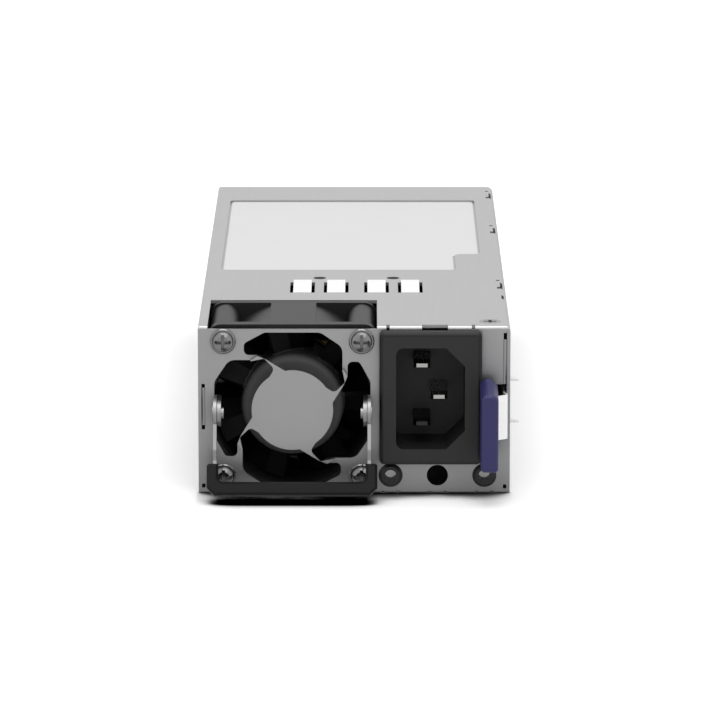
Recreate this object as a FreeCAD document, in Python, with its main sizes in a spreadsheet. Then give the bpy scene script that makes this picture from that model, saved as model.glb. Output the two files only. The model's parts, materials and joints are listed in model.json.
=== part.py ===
import FreeCAD, Part
# Hot swap server power supply: a sheet steel module that slides into a server bay.
# Frame: millimetres, +X to the right as seen from the front, +Y from the front panel to the rear,
# +Z up. The origin is the centre of the case's bottom face.
import math
import os
import Sketcher
from FreeCAD import Placement, Rotation, Vector

# Driving dimensions, one named value each.
SIZES = {
    # sheet metal case
    "case_width": 73.5,
    "case_height": 40.0,
    "case_length": 185.0,
    "sheet_gauge": 0.8,
    "seam_gap": 0.1,
    "fit_gap": 0.05,
    "skirt_depth": 7.0,
    "skirt_start": 34.0,
    "skirt_end_gap": 3.0,
    "edge_round": 0.7,
    "right_edge_round": 1.5,
    # fan frame, set into notches of the lid and the floor, between the left side and the inlet
    "fan_side_gap": 2.3,
    "fan_inlet_gap": 0.6,
    "fan_depth": 28.0,
    "fan_setback": 2.3,
    "fan_corner": 3.0,
    "fan_hole_inset": 3.6,
    "fan_flange": 3.0,
    "fan_rear_flange": 2.2,
    "fan_duct_wall": 1.0,
    "fan_wall": 0.9,
    "fan_flat_width": 10.8,
    "fan_boss_radius": 3.3,
    "fan_hole_radius": 1.6,
    "fan_notch_margin": 0.5,
    "strut_count": 4,
    "strut_width": 2.2,
    "motor_base_radius": 12.0,
    "motor_base_depth": 2.5,
    # fan rotor and motor
    "hub_radius": 12.0,
    "hub_setback": 1.7,
    "hub_length": 21.0,
    "hub_wall": 1.2,
    "hub_nose_round": 1.5,
    "blade_count": 7,
    "blade_tip_gap": 0.5,
    "blade_thickness": 1.1,
    "blade_root_chord": 13.0,
    "blade_tip_chord": 17.0,
    "blade_root_pitch": 38.0,
    "blade_tip_pitch": 55.0,
    "blade_inset": 2.5,
    "blade_camber": 1.6,
    "magnet_wall": 1.2,
    "stator_gap": 0.5,
    "stator_length": 9.0,
    "pole_width": 3.0,
    "coil_wall": 0.9,
    "bearing_radius": 3.0,
    "bearing_width": 3.0,
    "bearing_tube_wall": 1.0,
    "shaft_radius": 1.0,
    "shaft_gap": 0.03,
    "running_gap": 0.3,
    # fan screws
    "screw_head_radius": 3.0,
    "screw_head_height": 1.8,
    "screw_flange_height": 0.5,
    "screw_dome_radius": 2.5,
    "screw_shank_radius": 1.5,
    "screw_reach": 9.0,
    "screw_recess_width": 0.8,
    "screw_recess_depth": 1.5,
    # fan guard pressed in the front panel, its outline drawn for one fan size
    "guard_fan_size": 39.8,
    "disc_radius": 9.6,
    "disc_raise": 1.2,
    "jog_radius": 14.5,
    "jog_wall": 0.9,
    "window_count": 4,
    "window_reach": 18.4,
    "window_half": 6.6,
    "window_left": 11.4,
    "window_left_rise": 15.8,
    "window_right": 11.8,
    "window_right_rise": 14.9,
    "window_right_waist": 9.5,
    "window_shoulder": 2.6,
    "window_tip_out": 12.4,
    "window_tip_rise": 6.6,
    "window_toe_out": 9.9,
    "window_toe_rise": 4.2,
    "window_arc_start": 34.6,
    "window_arc_end": 100.2,
    "window_knee_out": 6.2,
    "window_knee_rise": 12.2,
    "window_sill_out": 8.2,
    "window_sill_rise": 13.0,
    "window_corner": 1.2,
    "relief_low": 1.0,
    "relief_middle": 15.1,
    "relief_high": 25.1,
    "relief_height": 0.95,
    "relief_right_low": 36.7,
    "relief_right_height": 2.0,
    "bend_groove_radius": 0.5,
    "bend_groove_depth": 0.3,
    "foot_notch_width": 0.7,
    "foot_notch_height": 0.5,
    "foot_notch_spread": 3.6,
    # ears and bail handle
    "ear_inset": 3.2,
    "ear_thickness": 0.9,
    "ear_radius": 3.2,
    "ear_foot": 3.4,
    "ear_bend": 0.4,
    "pivot_forward": 4.3,
    "rivet_radius": 1.2,
    "rivet_stub": 0.6,
    "rivet_stub_radius": 1.4,
    "rivet_head_radius": 1.9,
    "rivet_head_height": 0.15,
    "strap_thickness": 0.8,
    "strap_eye_radius": 3.7,
    "strap_width": 4.4,
    "strap_foot_width": 2.4,
    "strap_gap": 0.1,
    "handle_tilt": 21.0,
    "grip_side": 1.5,
    "grip_reach": 19.6,
    "grip_rise": 7.4,
    "grip_bar": 3.1,
    "grip_arm": 2.7,
    "grip_inner_round": 1.3,
    "grip_outer_round": 0.7,
    "grip_thickness": 3.6,
    "grip_chamfer": 1.7,
    "grip_edge": 0.55,
    # mains inlet
    "inlet_right_gap": 6.7,
    "inlet_width": 24.1,
    "inlet_bottom": 7.0,
    "inlet_lid_gap": 0.25,
    "inlet_proud": 2.5,
    "inlet_rim": 1.5,
    "inlet_corner": 1.2,
    "inlet_edge_round": 0.9,
    "inlet_body_depth": 19.0,
    "cavity_from_edge": 3.9,
    "cavity_width": 16.2,
    "cavity_height": 24.3,
    "cavity_depth": 16.5,
    "cavity_chamfer": 4.4,
    "cavity_corner": 1.8,
    "pin_width": 4.0,
    "pin_thickness": 2.0,
    "pin_spread": 7.0,
    "pin_offset": 4.0,
    "live_from_edge": 10.05,
    "live_tip_setback": 5.0,
    "earth_tip_setback": 2.4,
    "pin_tip_width": 2.6,
    "pin_tip_thickness": 0.9,
    "pin_taper": 2.2,
    "pin_tail": 6.0,
    # lamps and the open hole below the inlet
    "lamp_inset": 2.65,
    "lamp_height": 4.0,
    "lamp_radius": 1.4,
    "bezel_radius": 2.85,
    "bezel_proud": 0.7,
    "bezel_neck": 2.1,
    "bezel_depth": 6.0,
    "lens_setback": 4.6,
    "lamp_spread": 22.15,
    "open_hole_radius": 2.5,
    "open_hole_offset": 11.05,
    # latch
    "latch_gauge": 0.5,
    "latch_wall_gap": 0.35,
    "latch_bottom": 13.4,
    "latch_height": 10.6,
    "latch_pivot_back": 60.0,
    "latch_tail": 5.0,
    "latch_jog": 2.5,
    "latch_bow": 0.5,
    "latch_bow_start": 0.3,
    "latch_bow_end": 1.4,
    "latch_jog_start": 2.4,
    "latch_jog_end": 4.6,
    "latch_finger": 13.0,
    "tooth_back": 15.0,
    "tooth_length": 6.0,
    "tooth_proud": 2.4,
    "tooth_thickness": 0.5,
    "tooth_gap": 0.6,
    "latch_slot_left": 6.5,
    "latch_slot_above": 2.0,
    "latch_slot_below": 0.7,
    "latch_rivet_radius": 1.4,
    "latch_rivet_head": 2.4,
    "latch_rivet_height": 0.35,
    "latch_rivet_spread": 5.6,
    "latch_rivet_gap": 0.1,
    "latch_head_gap": 0.3,
    "tab_left": 7.2,
    "tab_width": 4.1,
    "tab_bottom": 8.3,
    "tab_height": 18.5,
    "tab_slope": 1.2,
    "tab_reach": 16.5,
    "tab_start": 3.2,
    "tab_notch": 5.0,
    "tab_top_round": 1.7,
    "tab_round": 0.9,
    # lid
    "label_left": 3.7,
    "label_right": 5.3,
    "label_front": 68.8,
    "label_rear": 19.7,
    "label_step_width": 6.4,
    "label_step_length": 20.7,
    "label_sink": 0.55,
    "label_thickness": 0.1,
    "label_inset": 0.5,
    "label_corner": 1.8,
    "tongue_front": 40.0,
    "tongue_length": 12.0,
    "tongue_width": 4.4,
    "tongue_raise": 0.8,
    "tongue_slot": 0.8,
    "tongue_spread": 8.2,
    "tongue_pair_left": 28.2,
    "tongue_pair_pitch": 18.0,
    "lid_hole_radius": 1.55,
    "lid_hole_back": 58.3,
    "lid_notch_offset": 10.0,
    "lid_notch_width": 6.1,
    "lid_relief": 0.8,
    "lid_relief_inset": 2.0,
    "lance_from_side": 0.7,
    "lance_width": 1.4,
    "lance_length": 7.5,
    "lance_slot": 0.6,
    "lance_foot": 2.2,
    "lance_front": 45.0,
    "lance_middle_from_rear": 67.0,
    "lance_last_from_rear": 17.0,
    "lance_single": 32.5,
    "lid_notch_depth": 1.5,
    "lid_screw_from_side": 4.7,
    "lid_screw_back": 5.5,
    "lid_screw_radius": 1.25,
    "lid_screw_head": 2.5,
    "lid_screw_reach": 3.0,
    "lid_tab_length": 10.5,
    "lid_tab_width": 9.0,
    # side screws
    "side_screw_front": 45.0,
    "side_screw_pitch": 110.0,
    "side_screw_drop": 4.6,
    # rear panel
    "vent_flats": 4.6,
    "vent_web": 1.1,
    "vent_columns": 11,
    "vent_rows": 4,
    "vent_bottom": 11.0,
    "edge_width": 50.0,
    "edge_reach": 9.0,
    "edge_slot_gap": 0.5,
    "contact_count": 24,
    "contact_width": 1.2,
    "contact_length": 6.5,
    "contact_thickness": 0.06,
    # main board and what stands on it
    "sheet_liner": 0.25,
    "standoff_height": 3.2,
    "standoff_radius": 2.4,
    "board_thickness": 1.6,
    "board_margin": 2.3,
    "board_front": 33.0,
    "board_rear_gap": 0.4,
    "board_screw_radius": 1.3,
    "board_screw_head": 2.3,
    "board_screw_height": 1.5,
    "board_hole_inset_x": 5.0,
    "board_hole_inset_y": 4.0,
    "bulk_side_gap": 3.2,
    "bulk_gap": 1.5,
    "bulk_device_gap": 1.1,
    "bulk_headroom": 2.6,
    "bulk_groove": 1.2,
    "bulk_back": 80.0,
    "pfc_side_gap": 2.2,
    "pfc_winding_gap": 1.85,
    "pfc_back": 110.0,
    "pfc_bore": 5.0,
    "pfc_height": 15.0,
    "emi_from_right": 21.5,
    "emi_back": 48.0,
    "emi_radius": 12.0,
    "emi_bore": 5.0,
    "emi_height": 13.0,
    "choke_base": 1.5,
    "choke_bevel": 2.0,
    "film_left": 8.0,
    "film_back": 48.0,
    "film_choke_gap": 6.0,
    "film_depth": 8.5,
    "film_height": 17.0,
    "film_gap": 1.5,
    "fuse_left": 13.0,
    "fuse_back": 40.0,
    "fuse_length": 20.0,
    "fuse_radius": 2.6,
    "fuse_cap_length": 4.0,
    "fuse_cap_wall": 0.4,
    "sink_wall_gap": 4.7,
    "sink_back": 68.0,
    "sink_length": 40.0,
    "sink_height": 26.0,
    "sink_base": 2.4,
    "sink_fins": 5,
    "sink_fin": 1.2,
    "sink_fin_reach": 4.6,
    "output_sink_from_rear": 53.0,
    "switch_width": 10.0,
    "switch_height": 15.0,
    "switch_thickness": 4.4,
    "switch_gap": 2.5,
    "switch_start": 2.0,
    "switch_rise": 4.0,
    "bridge_width": 3.6,
    "bridge_length": 12.0,
    "bridge_height": 18.0,
    "bridge_rise": 3.0,
    "transformer_device_gap": 1.45,
    "transformer_back": 97.0,
    "transformer_length": 28.0,
    "transformer_height": 27.0,
    "core_leg": 6.0,
    "core_depth": 14.0,
    "winding_leg_gap": 0.4,
    "standby_left": 9.0,
    "standby_from_rear": 42.8,
    "standby_size": 11.5,
    "standby_height": 12.0,
    "output_side_gap": 7.2,
    "output_device_gap": 3.0,
    "output_can_gap": 1.4,
    "output_from_rear": 27.0,
    "output_height": 18.0,
    "output_columns": 5,
    "output_rows": 2,
    "control_left": 26.0,
    "control_device_gap": 0.6,
    "control_from_rear": 39.0,
    "control_height": 22.0,
    "control_thickness": 1.2,
}


class Size:
    """A number of the sheet, or one worked out from the sheet, with the formula that gives it."""

    def __init__(self, number, formula):
        self.number = float(number)
        self.formula = formula

    def __float__(self):
        return self.number

    def __neg__(self):
        return Size(-self.number, f"(0 - {self.formula})")

    def __add__(self, other):
        other = as_size(other)
        return Size(self.number + other.number, f"({self.formula} + {other.formula})")

    def __radd__(self, other):
        return as_size(other) + self

    def __sub__(self, other):
        other = as_size(other)
        return Size(self.number - other.number, f"({self.formula} - {other.formula})")

    def __rsub__(self, other):
        return as_size(other) - self

    def __mul__(self, other):
        other = as_size(other)
        return Size(self.number * other.number, f"({self.formula} * {other.formula})")

    def __rmul__(self, other):
        return as_size(other) * self

    def __truediv__(self, other):
        other = as_size(other)
        return Size(self.number / other.number, f"({self.formula} / {other.formula})")


def as_size(value):
    """Read a plain number as a size."""
    if isinstance(value, Size):
        return value
    return Size(value, f"{float(value):.6f}")


class Values:
    """The sheet's values, read by name."""


doc = FreeCAD.newDocument("PowerSupply")
sheet = doc.addObject("Spreadsheet::Sheet", "Sizes")
for row, (name, number) in enumerate(SIZES.items(), start=1):
    sheet.set(f"A{row}", name)
    sheet.set(f"B{row}", str(number))
    sheet.setAlias(f"B{row}", name)
doc.recompute()

d = Values()
for name in SIZES:
    setattr(d, name, Size(getattr(sheet, name), f"Sizes.{name}"))

# Places that several pieces share.
left = -d.case_width / 2
right = d.case_width / 2
front = -d.case_length / 2
rear = d.case_length / 2
wall_in = right - d.sheet_gauge
lid_under = d.case_height - d.sheet_gauge
panel_back = front + d.sheet_gauge
inlet_right = right - d.inlet_right_gap
inlet_left = inlet_right - d.inlet_width
inlet_top = lid_under - d.inlet_lid_gap
fan_size = inlet_left - d.fan_inlet_gap - d.fan_side_gap - left
fan_x = left + d.fan_side_gap + fan_size / 2
fan_z = d.case_height / 2
fan_bore = fan_size / 2 - d.fan_wall
ear_offset = fan_size / 2 - d.ear_inset
fan_front = front + d.fan_setback
fan_rear = fan_front + d.fan_depth
board_bottom = d.sheet_gauge + d.standoff_height
board_top = board_bottom + d.board_thickness
board_y = front + d.board_front
board_end = rear - d.sheet_gauge - d.board_rear_gap
pivot_y = front - d.pivot_forward
strip_x = wall_in - d.latch_wall_gap - d.latch_gauge / 2
latch_pivot_y = front + d.latch_pivot_back
latch_top = d.latch_bottom + d.latch_height
sink_x = wall_in - d.sink_wall_gap - d.sink_fin_reach - d.sink_base
device_x = sink_x - d.switch_thickness
winding_wall = d.transformer_length / 2 - 3 * d.core_leg / 2 - d.winding_leg_gap
winding_half = d.core_depth / 2 + d.fit_gap + winding_wall
transformer_x = device_x - d.transformer_device_gap - winding_half

nodes = []


# Document helpers.
def bind(item, path, value):
    """Tie one property of an object to the sheet."""
    item.setExpression(path, as_size(value).formula)


def place(item, x, y, z):
    """Put an object's base point at x, y, z."""
    for axis, value in (("x", x), ("y", y), ("z", z)):
        bind(item, f"Placement.Base.{axis}", value)


def keep(label, item):
    """Name an object as a sub-part of the assembly."""
    item.Label = label
    nodes.append(item)
    return item


def block(x, y, z, name="Block"):
    """A box given by its low and high value along each axis."""
    item = doc.addObject("Part::Box", name)
    bind(item, "Length", x[1] - x[0])
    bind(item, "Width", y[1] - y[0])
    bind(item, "Height", z[1] - z[0])
    place(item, x[0], y[0], z[0])
    return item


TURNS = {
    "x": Rotation(Vector(0, 1, 0), 90),
    "y": Rotation(Vector(1, 0, 0), -90),
    "z": Rotation(),
}


def along(axis, centre, start):
    """The point at start along an axis that runs through centre, the other two coordinates in order."""
    if axis == "x":
        return start, centre[0], centre[1]
    if axis == "y":
        return centre[0], start, centre[1]
    return centre[0], centre[1], start


def rod(axis, centre, span, radius, name="Rod"):
    """A cylinder along x, y or z."""
    item = doc.addObject("Part::Cylinder", name)
    bind(item, "Radius", radius)
    bind(item, "Height", span[1] - span[0])
    item.Placement = Placement(Vector(), TURNS[axis])
    place(item, *along(axis, centre, span[0]))
    return item


def cone(axis, centre, span, radii, name="Cone"):
    """A cone along x, y or z, with its radius at the start and at the end."""
    item = doc.addObject("Part::Cone", name)
    bind(item, "Radius1", radii[0])
    bind(item, "Radius2", radii[1])
    bind(item, "Height", span[1] - span[0])
    item.Placement = Placement(Vector(), TURNS[axis])
    place(item, *along(axis, centre, span[0]))
    return item


def fuse(items, name="Fuse"):
    """Join solids into one."""
    if len(items) == 1:
        return items[0]
    item = doc.addObject("Part::MultiFuse", name)
    item.Shapes = items
    item.Refine = True
    return item


def common(first, second, name="Common"):
    """What two solids share."""
    item = doc.addObject("Part::MultiCommon", name)
    item.Shapes = [first, second]
    item.Refine = True
    return item


def cut(base, tools, name="Cut"):
    """Take solids away from a base."""
    item = doc.addObject("Part::Cut", name)
    item.Base = base
    item.Tool = fuse(tools, name + "Tools")
    item.Refine = True
    return item


def group(items, name="Group"):
    """Keep separate solids together in one sub-part."""
    item = doc.addObject("Part::Compound", name)
    item.Links = items
    return item


def shaped(shape, name="Shape", placement=None):
    """A feature whose shape comes from Part's own functions."""
    item = doc.addObject("Part::Feature", name)
    item.Shape = shape
    if placement is not None:
        item.Placement = placement
    return item


def point(x, y, z):
    """A vector from sizes or plain numbers."""
    return Vector(float(x), float(y), float(z))


def rounded_edges(corners, closed=True):
    """Straight edges through corners (point, radius), with a tangent arc at each rounded corner."""
    count = len(corners)
    starts = []
    arcs = []
    for index, (corner, radius) in enumerate(corners):
        end_of_path = not closed and index in (0, count - 1)
        if radius == 0 or end_of_path:
            starts.append((corner, corner))
            arcs.append(None)
            continue
        back = (corners[index - 1][0] - corner).normalize()
        ahead = (corners[(index + 1) % count][0] - corner).normalize()
        half = back.getAngle(ahead) / 2
        run = radius / math.tan(half)
        middle = (back + ahead).normalize() * (radius / math.sin(half) - radius)
        starts.append((corner + back * run, corner + ahead * run))
        arcs.append(corner + middle)
    edges = []
    for index in range(count):
        if arcs[index] is not None:
            arc = Part.Arc(starts[index][0], arcs[index], starts[index][1])
            edges.append(arc.toShape())
        if index == count - 1 and not closed:
            break
        following = starts[(index + 1) % count][0]
        if (following - starts[index][1]).Length > 1e-6:
            edges.append(Part.makeLine(starts[index][1], following))
    return edges


def rounded_prism(corners, push):
    """A prism on a closed outline with rounded corners."""
    wire = Part.Wire(rounded_edges(corners))
    return Part.Face(wire).extrude(push)


def plane_of(body, role):
    """A body's own origin plane."""
    for feature in body.Origin.OriginFeatures:
        if feature.Role == role:
            return feature
    raise ValueError(role)


def new_sketch(body, role, name, offset=None):
    """A sketch on one of the body's origin planes, moved along the plane's normal."""
    item = body.newObject("Sketcher::SketchObject", name)
    item.AttachmentSupport = [(plane_of(body, role), "")]
    item.MapMode = "FlatFace"
    if offset is not None:
        bind(item, "AttachmentOffset.Base.z", offset)
    return item


def outline(item, corners):
    """A closed loop of lines in a sketch, each corner held by two distances from the sheet."""
    start = item.GeometryCount
    count = len(corners)
    for index in range(count):
        first = corners[index]
        second = corners[(index + 1) % count]
        line = Part.LineSegment(point(first[0], first[1], 0), point(second[0], second[1], 0))
        item.addGeometry(line)
    for index in range(count):
        following = start + (index + 1) % count
        item.addConstraint(Sketcher.Constraint("Coincident", start + index, 2, following, 1))
    for index in range(count):
        for kind, value in zip(("DistanceX", "DistanceY"), corners[index]):
            held = Sketcher.Constraint(kind, -1, 1, start + index, 1, float(value))
            number = item.addConstraint(held)
            bind(item, f"Constraints[{number}]", value)


def oblong(item, x, y):
    """A rectangle in a sketch, from its low and high values."""
    outline(item, [(x[0], y[0]), (x[1], y[0]), (x[1], y[1]), (x[0], y[1])])


def pad(body, profile, length, midplane=False, reverse=False):
    """Raise a sketch into a solid."""
    item = body.newObject("PartDesign::Pad", "Pad")
    item.Profile = profile
    bind(item, "Length", length)
    item.Midplane = midplane
    item.Reversed = reverse
    doc.recompute()
    return item


def pocket(body, profile, length, reverse=False, midplane=False):
    """Cut a sketch into the body, and make sure that it took material away."""
    before = body.Shape.Volume
    item = body.newObject("PartDesign::Pocket", "Pocket")
    item.Profile = profile
    bind(item, "Length", length)
    item.Midplane = midplane
    item.Reversed = reverse
    doc.recompute()
    if body.Shape.Volume >= before:
        raise ValueError(f"{body.Name}: a pocket cuts nothing")
    return item


def picked_edges(feature, test):
    """Names of the feature's edges whose two ends pass a test."""
    names = []
    for number, edge in enumerate(feature.Shape.Edges, start=1):
        if len(edge.Vertexes) == 2 and test(edge.Vertexes[0].Point, edge.Vertexes[1].Point):
            names.append(f"Edge{number}")
    return names


def soften(body, feature, kind, test, size):
    """Fillet or chamfer the edges of a feature that pass a test."""
    item = body.newObject(f"PartDesign::{kind}", kind)
    item.Base = (feature, picked_edges(feature, test))
    bind(item, "Radius" if kind == "Fillet" else "Size", size)
    doc.recompute()
    return item


def near(first, second):
    """Whether two lengths are the same."""
    return abs(float(first) - float(second)) < 1e-4


# Case.
def make_base_tray():
    """Floor and two side walls, bent from one sheet, with a notch for the fan and two catch slots."""
    body = doc.addObject("PartDesign::Body", "BaseTray")
    profile = new_sketch(body, "XZ_Plane", "TrayProfile")
    gauge = d.sheet_gauge
    corners = [
        (left, 0),
        (right, 0),
        (right, lid_under),
        (right - gauge, lid_under),
        (right - gauge, gauge),
        (left + gauge, gauge),
        (left + gauge, lid_under),
        (left, lid_under),
    ]
    outline(profile, corners)
    pad(body, profile, d.case_length - 2 * gauge, midplane=True)
    notch = new_sketch(body, "XY_Plane", "FloorNotch")
    oblong(notch, fan_notch_x(), (panel_back - 1, fan_rear + d.fan_notch_margin))
    pocket(body, notch, gauge, reverse=True)
    slots = new_sketch(body, "YZ_Plane", "CatchSlots", right)
    for low in tooth_levels():
        oblong(slots, tooth_slot_y(), (low - d.tooth_gap, low + d.tooth_thickness + d.tooth_gap))
    pocket(body, slots, gauge)
    tools = side_screw_holes(d.lid_screw_radius + d.fit_gap)
    tools.append(right_edge_tool())
    return keep_cut_holes("base_tray", body, tools)


def right_edge_tool():
    """What the bend along the case's top right edge leaves off its sheets."""
    radius = d.right_edge_round
    axis = (right - radius, d.case_height - radius)
    corner = block((axis[0], right + 1), (front - 1, rear + 1), (axis[1], d.case_height + 1))
    return cut(corner, [rod("y", axis, (front - 2, rear + 2), radius)], "EdgeTool")


def fan_notch_x():
    """Width of the notches that the fan stands in."""
    half = fan_size / 2 + d.fit_gap
    return fan_x - half, fan_x + half


def tooth_levels():
    """Lower faces of the two catch teeth."""
    return d.latch_bottom, latch_top - d.tooth_thickness


def tooth_slot_y():
    """The catch slots' span along the case."""
    first = front + d.tooth_back
    return first - d.tooth_gap, first + d.tooth_length + d.tooth_gap


def side_screw_places():
    """Where the screws that hold the lid's skirts stand, along the case."""
    first = front + d.side_screw_front
    return first, first + d.side_screw_pitch


def side_screw_level():
    """Height of the side screws."""
    return d.case_height - d.side_screw_drop


def side_screw_holes(radius):
    """Holes through both side walls and skirts, countersunk from outside."""
    tools = []
    for y in side_screw_places():
        for side in (-1, 1):
            outer = side * (right + 0.01)
            inner = side * (right - 3 * d.sheet_gauge)
            span = (outer, inner) if side < 0 else (inner, outer)
            tools.append(rod("x", (y, side_screw_level()), span, radius))
            flare = (radius, d.lid_screw_head + d.fit_gap)
            start = right - d.sheet_gauge
            if side < 0:
                tools.append(cone("x", (y, side_screw_level()), (-right, -start), (flare[1], flare[0])))
            else:
                tools.append(cone("x", (y, side_screw_level()), (start, right), flare))
    return tools


def keep_cut_holes(label, body, tools):
    """Drill a body and keep the result as a sub-part."""
    return keep(label, cut(body, tools, label + "Solid"))


def make_top_cover():
    """Lid: a top sheet with a sunk label field, four raised tongues and two side skirts."""
    gauge = d.sheet_gauge
    body = doc.addObject("PartDesign::Body", "LidBody")
    profile = new_sketch(body, "XY_Plane", "LidProfile", lid_under)
    oblong(profile, (left, right), (front, rear))
    top_sheet = pad(body, profile, gauge)
    top = d.case_height
    near_corner = float(right + front) - 1
    soften(
        body,
        top_sheet,
        "Fillet",
        lambda a, b: near(a.z, top) and near(b.z, top) and min(a.x + a.y, b.x + b.y) < near_corner,
        d.edge_round,
    )
    solids = [body]
    skirt_y = (front + d.skirt_start, rear - gauge - d.skirt_end_gap)
    skirt_z = (lid_under - d.skirt_depth, lid_under)
    inner = d.seam_gap + 2 * gauge
    solids.append(block((left + gauge + d.seam_gap, left + inner), skirt_y, skirt_z))
    solids.append(block((right - inner, right - gauge - d.seam_gap), skirt_y, skirt_z))
    plate = fuse(solids, "LidSheet")
    tools = [block(fan_notch_x(), (front - 1, fan_rear + d.fan_notch_margin), lid_cut_z())]
    tools.append(block(lip_notch_x(), (front - 1, front + d.lid_notch_depth), lid_cut_z()))
    for span_x in lip_relief_x():
        tools.append(block(span_x, (front - 1, front + 2 * d.lid_relief), lid_cut_z()))
    tools.append(shaped(label_field(0, lid_under - 1, 3)))
    for x in tongue_places():
        half = d.tongue_width / 2 + d.tongue_slot
        y = front + d.tongue_front
        tools.append(block((x - half, x + half), (y, y + d.tongue_length + d.tongue_slot), lid_cut_z()))
    for x in tongue_pairs():
        tools.append(rod("z", (x, front + d.lid_hole_back), lid_cut_z(), d.lid_hole_radius))
    tools.extend(lid_screw_hole())
    tools.extend(lance_holes())
    tools.append(right_edge_tool())
    sheet_cut = cut(plate, tools, "LidCut")
    parts = [sheet_cut, shaped(sunk_field())]
    for x in tongue_places():
        parts.append(shaped(raised_tongue(x)))
    joined = fuse(parts, "LidFormed")
    tools = side_screw_holes(d.lid_screw_radius + d.fit_gap)
    return keep("top_cover", cut(joined, tools, "TopCover"))


def lip_notch_x():
    """Span of the notch in the lid's lip above the inlet."""
    start = inlet_left + d.lid_notch_offset
    return start, start + d.lid_notch_width


def lip_relief_x():
    """Spans of the two bend reliefs at the ends of the lip above the inlet."""
    half = d.lid_relief / 2
    spans = []
    for x in (inlet_left + d.lid_relief_inset, inlet_right - d.lid_relief_inset):
        spans.append((x - half, x + half))
    return spans


def lance_holes():
    """Openings left by the hooks lanced out of the lid's right edge."""
    edge = right - d.lance_from_side
    level = (lid_under - 2 * d.sheet_gauge, d.case_height + 1)
    starts = (
        front + d.lance_front,
        rear - d.lance_middle_from_rear,
        rear - d.lance_last_from_rear,
    )
    tools = []
    for y in starts:
        tools.append(block((edge - d.lance_width, edge), (y, y + d.lance_foot), level))
        tools.append(block((edge - d.lance_slot, edge), (y, y + d.lance_length), level))
        dot = y + d.lance_length + d.lance_foot
        tools.append(block((edge - d.lance_width, edge - d.lance_slot), (dot, dot + d.lance_slot * 2), level))
    y = front + d.lance_single
    tools.append(block((edge - d.lance_slot, edge), (y, y + d.lance_foot * 2), level))
    return tools


def lid_cut_z():
    """A span that passes the lid sheet on both faces."""
    return lid_under - 1, d.case_height + 1


def label_corners(grow, z):
    """Corners of the label field, moved outward by grow, with their radii."""
    x0 = left + d.label_left - grow
    x1 = right - d.label_right + grow
    y0 = front + d.label_front - grow
    y1 = rear - d.label_rear + grow
    step_x = x1 - d.label_step_width
    step_y = y0 + d.label_step_length
    radius = float(d.label_corner + grow)
    inside = float(d.label_corner - grow)
    return [
        (point(x0, y0, z), radius),
        (point(step_x, y0, z), radius),
        (point(step_x, step_y, z), inside),
        (point(x1, step_y, z), radius),
        (point(x1, y1, z), radius),
        (point(x0, y1, z), radius),
    ]


def label_field(grow, z, height):
    """The label field as a prism."""
    return rounded_prism(label_corners(grow, z), Vector(0, 0, height))


def sunk_field():
    """The sunk floor of the label field, with the rim that joins it to the sheet."""
    top = d.case_height - d.label_sink
    floor = label_field(d.sheet_gauge, top - d.sheet_gauge, float(d.sheet_gauge))
    rim = label_field(d.sheet_gauge, top - d.sheet_gauge, float(d.sheet_gauge + d.label_sink))
    return rim.cut(label_field(0, top, 2)).fuse(floor).removeSplitter()


def tongue_pairs():
    """Centres of the two pairs of tongues across the lid."""
    first = left + d.tongue_pair_left
    return first, first + d.tongue_pair_pitch


def tongue_places():
    """Centre of each tongue across the lid."""
    places = []
    for x in tongue_pairs():
        places.append(x - d.tongue_spread / 2)
        places.append(x + d.tongue_spread / 2)
    return places


def raised_tongue(x):
    """One tongue: it leaves the sheet at its front and rises towards the rear."""
    y0 = front + d.tongue_front
    y1 = y0 + d.tongue_length
    x0 = x - d.tongue_width / 2
    corners = [
        (point(x0, y0, lid_under), 0),
        (point(x0, y0, d.case_height), 0),
        (point(x0, y1, d.case_height + d.tongue_raise), 0),
        (point(x0, y1, lid_under + d.tongue_raise), 0),
    ]
    return rounded_prism(corners, point(d.tongue_width, 0, 0))


def lid_screw_place():
    """Centre of the lid's front screw."""
    return right - d.lid_screw_from_side, front + d.lid_screw_back


def lid_screw_hole():
    """Countersunk hole for the lid's front screw."""
    centre = lid_screw_place()
    hole = d.lid_screw_radius + d.fit_gap
    flare = d.lid_screw_head + d.fit_gap
    return [
        rod("z", centre, lid_cut_z(), hole),
        cone("z", centre, (lid_under, d.case_height), (hole, flare)),
    ]


def make_front_panel():
    """Front sheet: pressed fan guard, inlet cut-out, lamp holes, latch slot and the lid's screw tab."""
    sheet_y = (front, panel_back)
    raised_y = (front - d.disc_raise, panel_back - d.disc_raise)
    guard = d.jog_radius * guard_scale()
    rim = guard + d.jog_wall
    wall_y = (raised_y[0], panel_back)
    plate = block((left, right), sheet_y, (0, lid_under))
    flat = cut(plate, [rod("y", (fan_x, fan_z), (front - 1, panel_back + 1), guard)], "FlatSheet")
    ring = cut(rod("y", (fan_x, fan_z), wall_y, rim), [rod("y", (fan_x, fan_z), wall_y, guard)], "Jog")
    disc = rod("y", (fan_x, fan_z), raised_y, guard + d.jog_wall / 2)
    formed = fuse([flat, ring, disc], "FormedSheet")
    tools = []
    for index in range(int(float(d.window_count))):
        angle = 360 / float(d.window_count) * index
        tools.append(shaped(window_prism(angle)))
    tools.extend(panel_holes())
    tools.extend(panel_edge_cuts())
    tools.append(right_edge_tool())
    tools.extend(bend_grooves())
    perforated = cut(formed, tools, "Perforated")
    return keep("front_panel", fuse([perforated, lid_tab()], "FrontPanel"))


def guard_scale():
    """How much larger the fan is than the one that the guard's outline is drawn for."""
    return fan_size / d.guard_fan_size


def sorted_span(first, second):
    """Two sizes in rising order."""
    if float(first) < float(second):
        return first, second
    return second, first


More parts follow.
